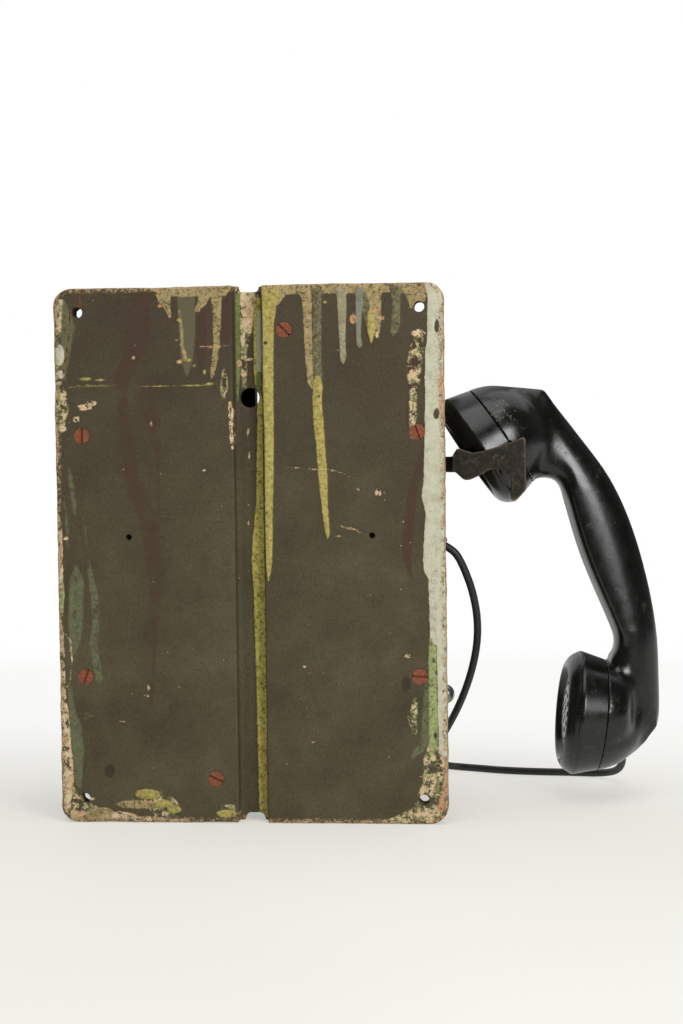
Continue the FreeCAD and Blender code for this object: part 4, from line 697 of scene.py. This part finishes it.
def board_finish():
    """Olive paint with every later coat, run, chip and scratch on it, each where its own layer says."""
    f = Finish("board_paint")
    fine = f.noise(1.3, 5, 0.7)
    rag = f.times(f.minus(f.noise(2.4, 5, 0.7, shift=11), 0.5), 2.6)
    sway = f.times(f.minus(f.noise(9, 3, 0.6, shift=12), 0.5), 5)
    colour = f.ramp(f.noise(34, 5, 0.62), (0.3, 64, 57, 41), (0.5, 75, 68, 49), (0.7, 86, 79, 58))
    high = f.smooth(f.plus(f.z, f.times(f.noise(60, 3, shift=61), 160)), 60, 190)
    colour = f.over(colour, (66, 55, 43), high, 0.55)
    weave = f.noise(0.9, 3, 0.65, at=f.stretch(1, 1, 0.5))
    colour = f.over(colour, (54, 47, 32), f.smooth(weave, 0.46, 0.68), 0.55)
    colour = f.over(colour, (110, 102, 78), f.smooth(fine, 0.54, 0.74), 0.55)
    smear = f.noise(14, 4, 0.6, at=f.stretch(1, 1, 1.6), shift=21)
    colour = f.over(colour, (60, 51, 39), f.smooth(smear, 0.56, 0.72), 0.22)
    height = f.times(fine, 0.25)

    def cover(name, tones, amount=1, soft=0.35, ragged=1, relief=0, broken=None, swayed=0):
        """Lays one coat by its layer. broken gives the noise that eats it away: size, low, high, shift."""
        nonlocal colour, height
        depth = f.plus(f.attribute(name), f.times(rag, 0.32 * ragged))
        if swayed:
            depth = f.plus(depth, f.times(sway, swayed))
        mask = f.smooth(depth, -soft, soft)
        if broken:
            size, low, high, shift = broken
            mask = f.times(mask, f.smooth(f.noise(size, 5, 0.75, shift=shift), low, high))
        if relief:
            height = f.plus(height, f.times(mask, relief))
        colour = f.over(colour, tones, mask, amount)
        return mask

    mottle = f.noise(1.7, 5, 0.75, shift=4)
    wide = f.noise(5, 4, 0.7, shift=14)
    chip = f.noise(3.8, 6, 0.75, shift=17)
    yellow = f.ramp(mottle, (0.34, 92, 80, 42), (0.41, 138, 124, 66), (0.52, 158, 146, 80),
                    (0.72, 188, 174, 106))
    groove_yellow = f.ramp(mottle, (0.37, 84, 70, 34), (0.45, 150, 138, 66), (0.55, 174, 162, 86),
                           (0.72, 200, 188, 114))
    khaki = f.ramp(mottle, (0.35, 94, 80, 56), (0.43, 140, 123, 84), (0.58, 162, 145, 100),
                   (0.8, 190, 174, 126))
    green_specks = f.ramp(mottle, (0.36, 66, 58, 42), (0.5, 96, 91, 64), (0.62, 118, 114, 80),
                          (0.8, 142, 136, 100))
    cream = f.ramp(wide, (0.32, 158, 118, 84), (0.45, 190, 162, 124), (0.6, 206, 188, 156),
                   (0.75, 222, 212, 190))
    mint = f.ramp(wide, (0.3, 158, 156, 132), (0.5, 180, 178, 155), (0.75, 194, 192, 172))
    broken_tones = f.ramp(chip, (0.36, 40, 30, 20), (0.43, 96, 88, 56), (0.48, 130, 128, 84),
                          (0.54, 196, 178, 140), (0.60, 206, 176, 138), (0.66, 168, 112, 72),
                          (0.72, 92, 80, 54))
    soft_green = f.ramp(mottle, (0.35, 84, 88, 62), (0.7, 116, 122, 90))
    pale = f.ramp(mottle, (0.35, 116, 106, 80), (0.55, 150, 142, 112), (0.8, 168, 160, 130))
    blue = f.ramp(mottle, (0.35, 104, 102, 86), (0.6, 130, 130, 114), (0.8, 150, 146, 128))
    deep_green = f.ramp(mottle, (0.35, 78, 80, 38), (0.5, 104, 114, 60), (0.75, 134, 146, 88))
    lime = f.ramp(mottle, (0.36, 100, 92, 58), (0.45, 134, 142, 90), (0.6, 150, 162, 106),
                  (0.8, 166, 180, 124))

    cover("stain", (72, 50, 40), 0.68, 1, 2, 0, (8, 0.34, 0.56, 25), 0.2)
    cover("maroon", (70, 48, 38), 0.72, 0.5, 2)
    cover("purple", (70, 52, 43), 0.8, 0.4)
    cover("tint", soft_green, 0.72, 0.9, 1.6, 0, (4, 0.34, 0.5, 33), 0.3)
    cover("grey", (108, 102, 76), 0.5, 0.5, 1.5)
    cover("sage", soft_green, 0.72, 0.5, 2, 0, (2.6, 0.40, 0.52, 35))
    cover("flaky", broken_tones, 0.95, 0.6, 2.4, -0.6, (4.6, 0.44, 0.49, 31), 0.4)
    cover("khaki", khaki, 0.96, 0.35, 2.4, 0.3, (1.8, 0.38, 0.46, 37), 0.2)
    cover("speckled", green_specks, 1, 0.3, 1.2, 0.4)
    cover("pale", pale, 1, 0.25, 0.9, 0.5)
    cover("blue", blue, 1, 0.25, 0.9, 0.5)
    cover("yellow", yellow, 1, 0.3, 1.6, 0.8)
    cover("groove_cream", cream, 0.95, 0.4, 2.4, 0, (2.4, 0.42, 0.48, 39))
    cover("groove_yellow", groove_yellow, 1, 0.3, 2.4, 0.8)
    cover("groove_mint", (164, 166, 142), 0.95, 0.3, 1.6)
    cover("groove_green", deep_green, 0.95, 0.4, 1.6)
    mint_mask = cover("mint", mint, 1, 0.25, 1.8, 0.4, None, 0.22)
    spots = f.spots(0.60, 0.64, 1.9, 5, 0.8, shift=23)
    edge_side = f.smooth(f.math("ABSOLUTE", f.x), 92, 99, 0.55, 1)
    colour = f.over(colour, (108, 90, 62), f.times(f.times(spots, mint_mask), edge_side))
    cover("lime", lime, 0.95, 0.4, 2.2, 0, (3, 0.36, 0.44, 43))
    cover("salmon", (184, 138, 102), 0.9, 0.3, 2.6, 0, (1.8, 0.40, 0.50, 45))
    cover("dark", (58, 48, 36), 0.95, 0.3, 2.2)
    cream_mask = cover("cream", cream, 1, 0.25, 2.6, -0.6, (4.2, 0.43, 0.48, 47), 0.25)
    lines = f.spots(0.56, 0.60, 1.3, 4, 0.75, shift=27)
    colour = f.over(colour, (92, 70, 46), f.times(lines, cream_mask), 0.85)

    inward = f.attribute("rim")
    band = f.plus(f.plus(inward, rag), f.times(sway, 0.5))
    chips = f.times(f.smooth(band, 1.6, 3.4, 1, 0), f.spots(0.47, 0.51, 2.2, 5, 0.8, shift=49))
    edge_tones = f.ramp(f.noise(2.6, 5, 0.8, shift=57), (0.36, 46, 34, 24), (0.42, 100, 92, 58),
                        (0.47, 62, 52, 36), (0.52, 188, 164, 124), (0.57, 176, 122, 82),
                        (0.62, 110, 116, 74), (0.7, 200, 186, 152))
    colour = f.over(colour, edge_tones, chips, 0.9)
    bare = f.smooth(f.plus(inward, f.times(rag, 0.8)), 0.25, 1, 1, 0)
    kept = f.times(f.smooth(f.y, -4.5, -1.5, 1, 0), f.spots(0.45, 0.49, 11, 6, 0.75, shift=67))
    rim_tones = f.ramp(f.noise(3.2, 4, 0.8, shift=59), (0.36, 70, 56, 40), (0.44, 124, 114, 82),
                       (0.5, 176, 158, 122), (0.56, 160, 112, 78), (0.62, 110, 108, 76),
                       (0.7, 84, 68, 48))
    colour = f.over(colour, rim_tones, f.times(bare, f.minus(1, kept)), 0.85)

    crack = f.attribute("crack")
    glow = f.smooth(f.plus(crack, f.times(rag, 0.6)), -0.7, 0.1)
    colour = f.over(colour, (124, 76, 40), glow, 0.5)
    # The crack's near-black core is painted shade inside the crack.
    colour = f.over(colour, (24, 16, 9), f.smooth(f.plus(crack, f.times(rag, 0.22)), 0, 0.25))

    nicks = f.smooth(f.cells(6.5), 0.050, 0.064, 1, 0)
    keep = f.spots(0.50, 0.54, 22, 2, shift=41)
    colour = f.over(colour, (150, 128, 98), f.times(nicks, keep), 0.8)
    hair = f.noise(0.7, 2, 0.5, at=f.stretch(0.10, 1, 1), shift=51)
    hairs = f.times(f.smooth(hair, 0.73, 0.76), f.spots(0.5, 0.6, 30, 2, shift=53))
    colour = f.over(colour, (124, 112, 86), hairs, 0.4)
    scuffs = f.times(f.spots(0.66, 0.69, 1.1, 5, 0.8, shift=63),
                     f.spots(0.5, 0.62, 26, 3, shift=65))
    colour = f.over(colour, (150, 130, 100), scuffs, 0.6)
    rough = f.straight(mottle, 0.3, 0.7, 0.6, 0.75)
    return f.done(colour, rough, normal=f.bump(height, 0.28), specular=0.2)


board.data.materials.append(board_finish())
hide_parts("backboard")
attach(board, "case")


# ---------- handset and hook
def spread(values, links):
    """Each point's average over its neighbours."""
    count = len(values)
    near = np.bincount(links.ravel(), minlength=count)
    total = np.empty_like(values)
    for axis in range(values.shape[1]):
        column = values[:, axis]
        total[:, axis] = np.bincount(links[:, 0], weights=column[links[:, 1]], minlength=count)
        total[:, axis] += np.bincount(links[:, 1], weights=column[links[:, 0]], minlength=count)
    return total / np.maximum(near, 1)[:, None]


def relax(points, links, weight, rounds, give=0.0):
    """Smooths points by their weights; give puts back some of the shrinkage."""
    for _ in range(rounds):
        points = points + (spread(points, links) - points) * weight[:, None] * 0.6
        if give:
            points = points - (spread(points, links) - points) * weight[:, None] * give
    return points


# Each cup's middle on its face, and its axis towards the face.
ear = (Vector((-0.12744, -0.07521, 0.0591)), Vector((0.8258, 0.0723, -0.5590)))
mouth = (Vector((-0.17994, -0.07981, -0.0928)), Vector((0.9912, 0.0867, 0.0990)))


def cup_places(points, cup):
    """Each point's distance along a cup's axis, towards its face, and out from that axis."""
    axis = np.array(cup[1].normalized())
    offset = points - np.array(cup[0])
    along = offset @ axis
    return along * 1000, np.linalg.norm(offset - along[:, None] * axis, axis=1) * 1000


def cup_rim(along, out, low, high):
    """1 at a cup's rim, fading away from the face over low to high and outwards past its wall."""
    return soft_step(along, low, high) * soft_step(-out, -38, -33)


handset = remould("handset_body", "handset_shell", handset_grid)
mesh = handset.data
points, normals, links = points_of(mesh), normals_of(mesh), links_of(mesh)
# free is 0 where the caps and capsules seat; calm is 0 on the cups' rims too.
free = np.ones(len(points))
calm = np.ones(len(points))
for cup in (ear, mouth):
    along, out = cup_places(points, cup)
    calm *= 1 - cup_rim(along, out, -8, -3)
    collar = soft_step(along, -2.5, -0.5) * soft_step(-out, -34, -31.5)
    bore = soft_step(-out, -26.8, -25.8) * soft_step(along, -11.5, -10.2)
    free *= (1 - collar) * (1 - bore)
calm *= free
# The creases between cups and handle, widened, are smoothed the most.
hollow = np.sum((spread(points, links) - points) * normals, axis=1) * 1000
valley = soft_step(hollow, 0.012, 0.06)[:, None]
for _ in range(30):
    valley = np.maximum(valley * 0.985, spread(valley, links))
valley = soft_step(valley[:, 0], 0.05, 0.5)
points = relax(points, links, free, 10, give=0.25)
points = relax(points, links, calm * valley, 90)

# The handle in its own upright plane: side runs away from the case, deep towards the wall. At each
# level its inner line and its back are read off the core, and smoothed along the handle.
handle_at = np.array((-125.0, -75.0))
side_way = np.array((-0.99619, -0.08716))
deep_way = np.array((-0.08716, 0.99619))
core_half = 6.5
from_hook = points[:, :2] * 1000 - handle_at
side, deep = from_hook @ side_way, from_hook @ deep_way
tall = points[:, 2] * 1000
lowest, highest = -110, 90
levels = np.arange(lowest, highest)
core = np.abs(deep) < core_half
back_at = np.full(len(levels), -1e3)
inner_at = np.full(len(levels), 1e3)
rows = np.clip(np.round(tall).astype(int) - lowest, 0, len(levels) - 1)
np.maximum.at(back_at, rows[core], side[core])
np.minimum.at(inner_at, rows[core], side[core])
blur = np.exp(-(np.arange(-18, 19) / 8.0) ** 2)
blur /= blur.sum()
back_at = np.where(levels < 66, np.convolve(back_at, blur, mode="same"), back_at)
open_bar = (levels > -56) & (levels < 27)
inner_rows = np.concatenate(((-98.0, -62.0), levels[open_bar], (34.6, 60.0, 84.0)))
inner_side = np.concatenate(((62.0, 62.0), inner_at[open_bar], (32.6, 20.0, 6.0)))
inner_at = np.convolve(np.interp(levels, inner_rows, inner_side), blur, mode="same")
inner, back = np.interp(tall, levels, inner_at), np.interp(tall, levels, back_at)

# Its section is drawn out or in to a rounded one: widest at the crest, a full curve behind it, and
# nearly flat sides with some draft in front of it.
crest_share = 0.25
half_deep = 13.0
back_power, front_power = 1.8, 6.0
draft_mm = 2.4
crest = inner + crest_share * (back - inner)
b = np.abs(deep / half_deep)
t = (side - crest) / np.maximum(back - crest, 4.0)
s = (crest - side) / np.maximum(crest - inner, 3.0)
draft = draft_mm / np.maximum(crest - inner, 3) * b * soft_step(s, 0, 0.5)
size = np.where(t > 0, (np.abs(t) ** back_power + b**back_power) ** (1 / back_power),
                ((np.abs(s) + draft) ** front_power + b**front_power) ** (1 / front_power))
size = np.maximum(size, 0.5)
bar = soft_step(tall, -60, -46) * soft_step(-tall, -38, -22)
rear = soft_step(t, 0, 0.25) * soft_step(tall, -108, -88) * soft_step(-tall, -82, -66)
moulded = np.maximum(bar, rear) * (1 - cup_rim(*cup_places(points, ear), -10, -5))
shift = ((side - crest) * (1 / size - 1))[:, None] * side_way + (deep * (1 / size - 1))[:, None] * deep_way
points[:, :2] += shift * moulded[:, None] * MM

# Corners that are smoothed once more: side, tall and reach.
soft_corners = ((61, -60, 17), (27, 37, 16), (21, 36, 9), (36, 62, 26), (70, -92, 22))
corners = np.zeros(len(points))
for side_at, tall_at, reach in soft_corners:
    away = np.hypot(side - side_at, tall - tall_at)
    corners = np.maximum(corners, soft_step(-away, -reach, -reach * 0.4))
corners *= soft_step(back - side, 3, 9)
points = relax(points, links, calm * corners, 90)
points = relax(points, links, free, 4)
# The mould seam runs along the handle's wall side, a little way in from its inner line. The bakelite draws a
# lighter brown line there as a painted highlight on the seam's ridge.
seam_in = 4.3
set_layer(mesh, "seam_highlight", -np.abs(side - inner - seam_in) - (1 - bar) * 3.0 - (deep < 4.0) * 5.0)
set_points(mesh, points)
mesh.materials.append(bakelite())
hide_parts("handset_body")
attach(handset, "handset")

# The forged fork: softened edges, lumps and pits, but not where it turns on its pivot.
fork = remould("hook_fork", "forged_fork", fork_grid)
mesh = fork.data
points, links = points_of(mesh), links_of(mesh)
pivot_x, pivot_z = -0.070, 0.0443
loose = soft_step(np.hypot(points[:, 0] - pivot_x, points[:, 2] - pivot_z), 0.008, 0.014)
points = relax(points, links, loose, 8)
set_points(mesh, points)
normals = normals_of(mesh)
lump = ripple(*(points.T * 1000 / 5.0), seed=17) * 0.14 + ripple(*(points.T * 1000 / 1.8), seed=18) * 0.07
pits = np.minimum(ripple(*(points.T * 1000 / 1.3), seed=19) + 0.35, 0) * 0.35
set_points(mesh, points + normals * ((lump + pits) * loose)[:, None] * MM)
mesh.materials.append(paints["worn_iron"])
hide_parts("hook_fork")
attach(fork, "hook")


# ---------- cord
cord_radius = 2.1 * MM
cord_route = [
    (-96.5, -70.0, 0.6), (-100.7, -70.0, -1.85), (-104.0, -70.6, -5.6), (-107.7, -72.6, -13.8),
    (-111.6, -76.0, -25.5), (-114.0, -80.8, -40.5), (-113.4, -86.5, -56.0), (-109.3, -96.5, -74.0),
    (-102.4, -109.2, -92.5), (-93.4, -123.4, -110.0), (-85.8, -135.6, -122.6), (-85.5, -146.0, -129.6),
    (-91.2, -153.9, -133.9), (-101.4, -156.6, -135.3), (-112.0, -152.2, -135.3), (-126.0, -145.6, -135.3),
    (-146.0, -141.4, -135.3), (-167.0, -139.8, -135.3), (-183.6, -134.4, -134.9), (-192.8, -124.4, -131.2),
    (-194.43, -112.59, -121.01), (-191.40, -105.74, -115.12),
]


def line_through(route):
    """The points of a smooth curve led by a route in millimetres."""
    data = bpy.data.curves.new("cord_line", "CURVE")
    data.dimensions = "3D"
    data.resolution_u = 12
    spline = data.splines.new("NURBS")
    spline.points.add(len(route) - 1)
    for point, (x, y, z) in zip(spline.points, route):
        point.co = (x * MM, y * MM, z * MM, 1.0)
    spline.order_u = 3
    spline.use_endpoint_u = True
    guide = add_object("cord_line", data)
    line = [vertex.co.copy() for vertex in bpy.data.meshes.new_from_object(guide).vertices]
    bpy.data.objects.remove(guide)
    return line


def tube_along(name, line, radius, sides=18):
    """A round tube, as a mesh, along a line of points."""
    across = Vector((0.0, 1.0, 0.0))
    skin = []
    for before, here, after in zip([line[0]] + line[:-1], line, line[1:] + [line[-1]]):
        along = (after - before).normalized()
        across = (across - along * across.dot(along)).normalized()
        third = along.cross(across)
        skin += [here + (across * math.cos(turn) + third * math.sin(turn)) * radius
                 for turn in (2 * math.pi * k / sides for k in range(sides))]
    faces = [list(range(sides))[::-1], [(len(line) - 1) * sides + k for k in range(sides)]]
    for i in range(len(line) - 1):
        for k in range(sides):
            near, far = i * sides + k, i * sides + (k + 1) % sides
            faces.append([near, far, far + sides, near + sides])
    mesh = bpy.data.meshes.new(name)
    mesh.from_pydata(skin, [], faces)
    mesh.polygons.foreach_set("use_smooth", [len(face) == 4 for face in faces])
    return add_object(name, mesh)


cord_line = line_through(cord_route)
cord = tube_along("handset_cable", cord_line, cord_radius)
cord.data.materials.append(paints["rubber"])
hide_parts("handset_cord")
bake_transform(cord)


# ---------- stage
white = (1.0, 1.0, 1.0, 1.0)
floor_z = -137.5 * MM
shadow_fill = 0.5
night_level = 0.05
bpy.ops.mesh.primitive_plane_add(size=12.0, location=(0, 0, floor_z))
floor = bpy.context.object
floor.name = "floor"
f = Finish("floor")
# The floor fades to white away from a place 150 mm behind the wall plane, and more so past the
# part's front. Its tone glows a little for seen rays, which fills the shadow, and well behind the
# wall plane it is dark in gloss.
far = f.math("SQRT", f.plus(f.math("POWER", f.x, 2), f.math("POWER", f.minus(f.y, 150), 2)))
beyond = f.smooth(f.times(f.y, -1), -40, 420, 0, 0.8)
fade = f.most(f.smooth(far, 300, 1050), beyond)
rays = f.add("LightPath").outputs
seen = f.most(f.most(rays["Is Camera Ray"], rays["Is Glossy Ray"]), rays["Is Transmission Ray"])
tone = f.ramp(f.noise(400, 2), (0.3, 235, 233, 225), (0.7, 240, 239, 232))
dimmed = f.times(rays["Is Glossy Ray"], f.smooth(f.y, 100, 500, 0, 0.95))
look = f.shader.outputs[0]
for amount, other in ((f.times(seen, shadow_fill), f.glow(tone, 1.0)),
                      (f.times(fade, seen), f.glow(white, 1.0)),
                      (dimmed, f.glow(white, night_level))):
    look = f.fed("MixShader", amount, look, other)
f.feed(f.out, look)
floor.data.materials.append(f.done(tone, 0.6, specular=0.2))

# The world is white where it is seen, plain and even as light, and in gloss bright only in front
# of the part and to its right, so that dark gloss keeps its shape.
studio_dark = 0.06
ambient_level = 0.38
world = bpy.data.worlds.new("studio")
bpy.context.scene.world = world
world.use_nodes = True
w = Graph(world.node_tree)
rays = w.add("LightPath").outputs
split = w.add("SeparateXYZ")
w.feed(split.inputs[0], w.add("TexCoord").outputs["Generated"])
ahead = w.straight(split.outputs["Y"], -0.35, 0.3, 1.0, studio_dark)
aside = w.straight(split.outputs["X"], -0.15, 0.35, 0.12, 1.0)
clear = w.most(rays["Is Camera Ray"], rays["Is Transmission Ray"])
shine = w.times(rays["Is Glossy Ray"], w.times(ahead, aside))
lit = w.times(rays["Is Diffuse Ray"], ambient_level)
sky = w.fed("Background", white, w.most(w.most(clear, shine), lit))
w.feed(w.add("OutputWorld").inputs[0], sky)

lamp_aim = Vector((-0.05, -0.05, 0.0))


def lamp(name, place, watts, size):
    data = bpy.data.lights.new(name, "AREA")
    data.shape = "SQUARE"
    data.size = size
    data.energy = watts
    thing = add_object(name, data)
    thing.location = place
    thing.rotation_mode = "QUATERNION"
    thing.rotation_quaternion = (lamp_aim - Vector(place)).to_track_quat("-Z", "Y")


lamp("key", (-0.94, 1.18, 0.46), 15.0, 0.62)
lamp("top", (0.0, 0.6, 1.9), 18.0, 1.6)
lamp("back", (-0.7, -0.7, 1.6), 6.0, 1.4)
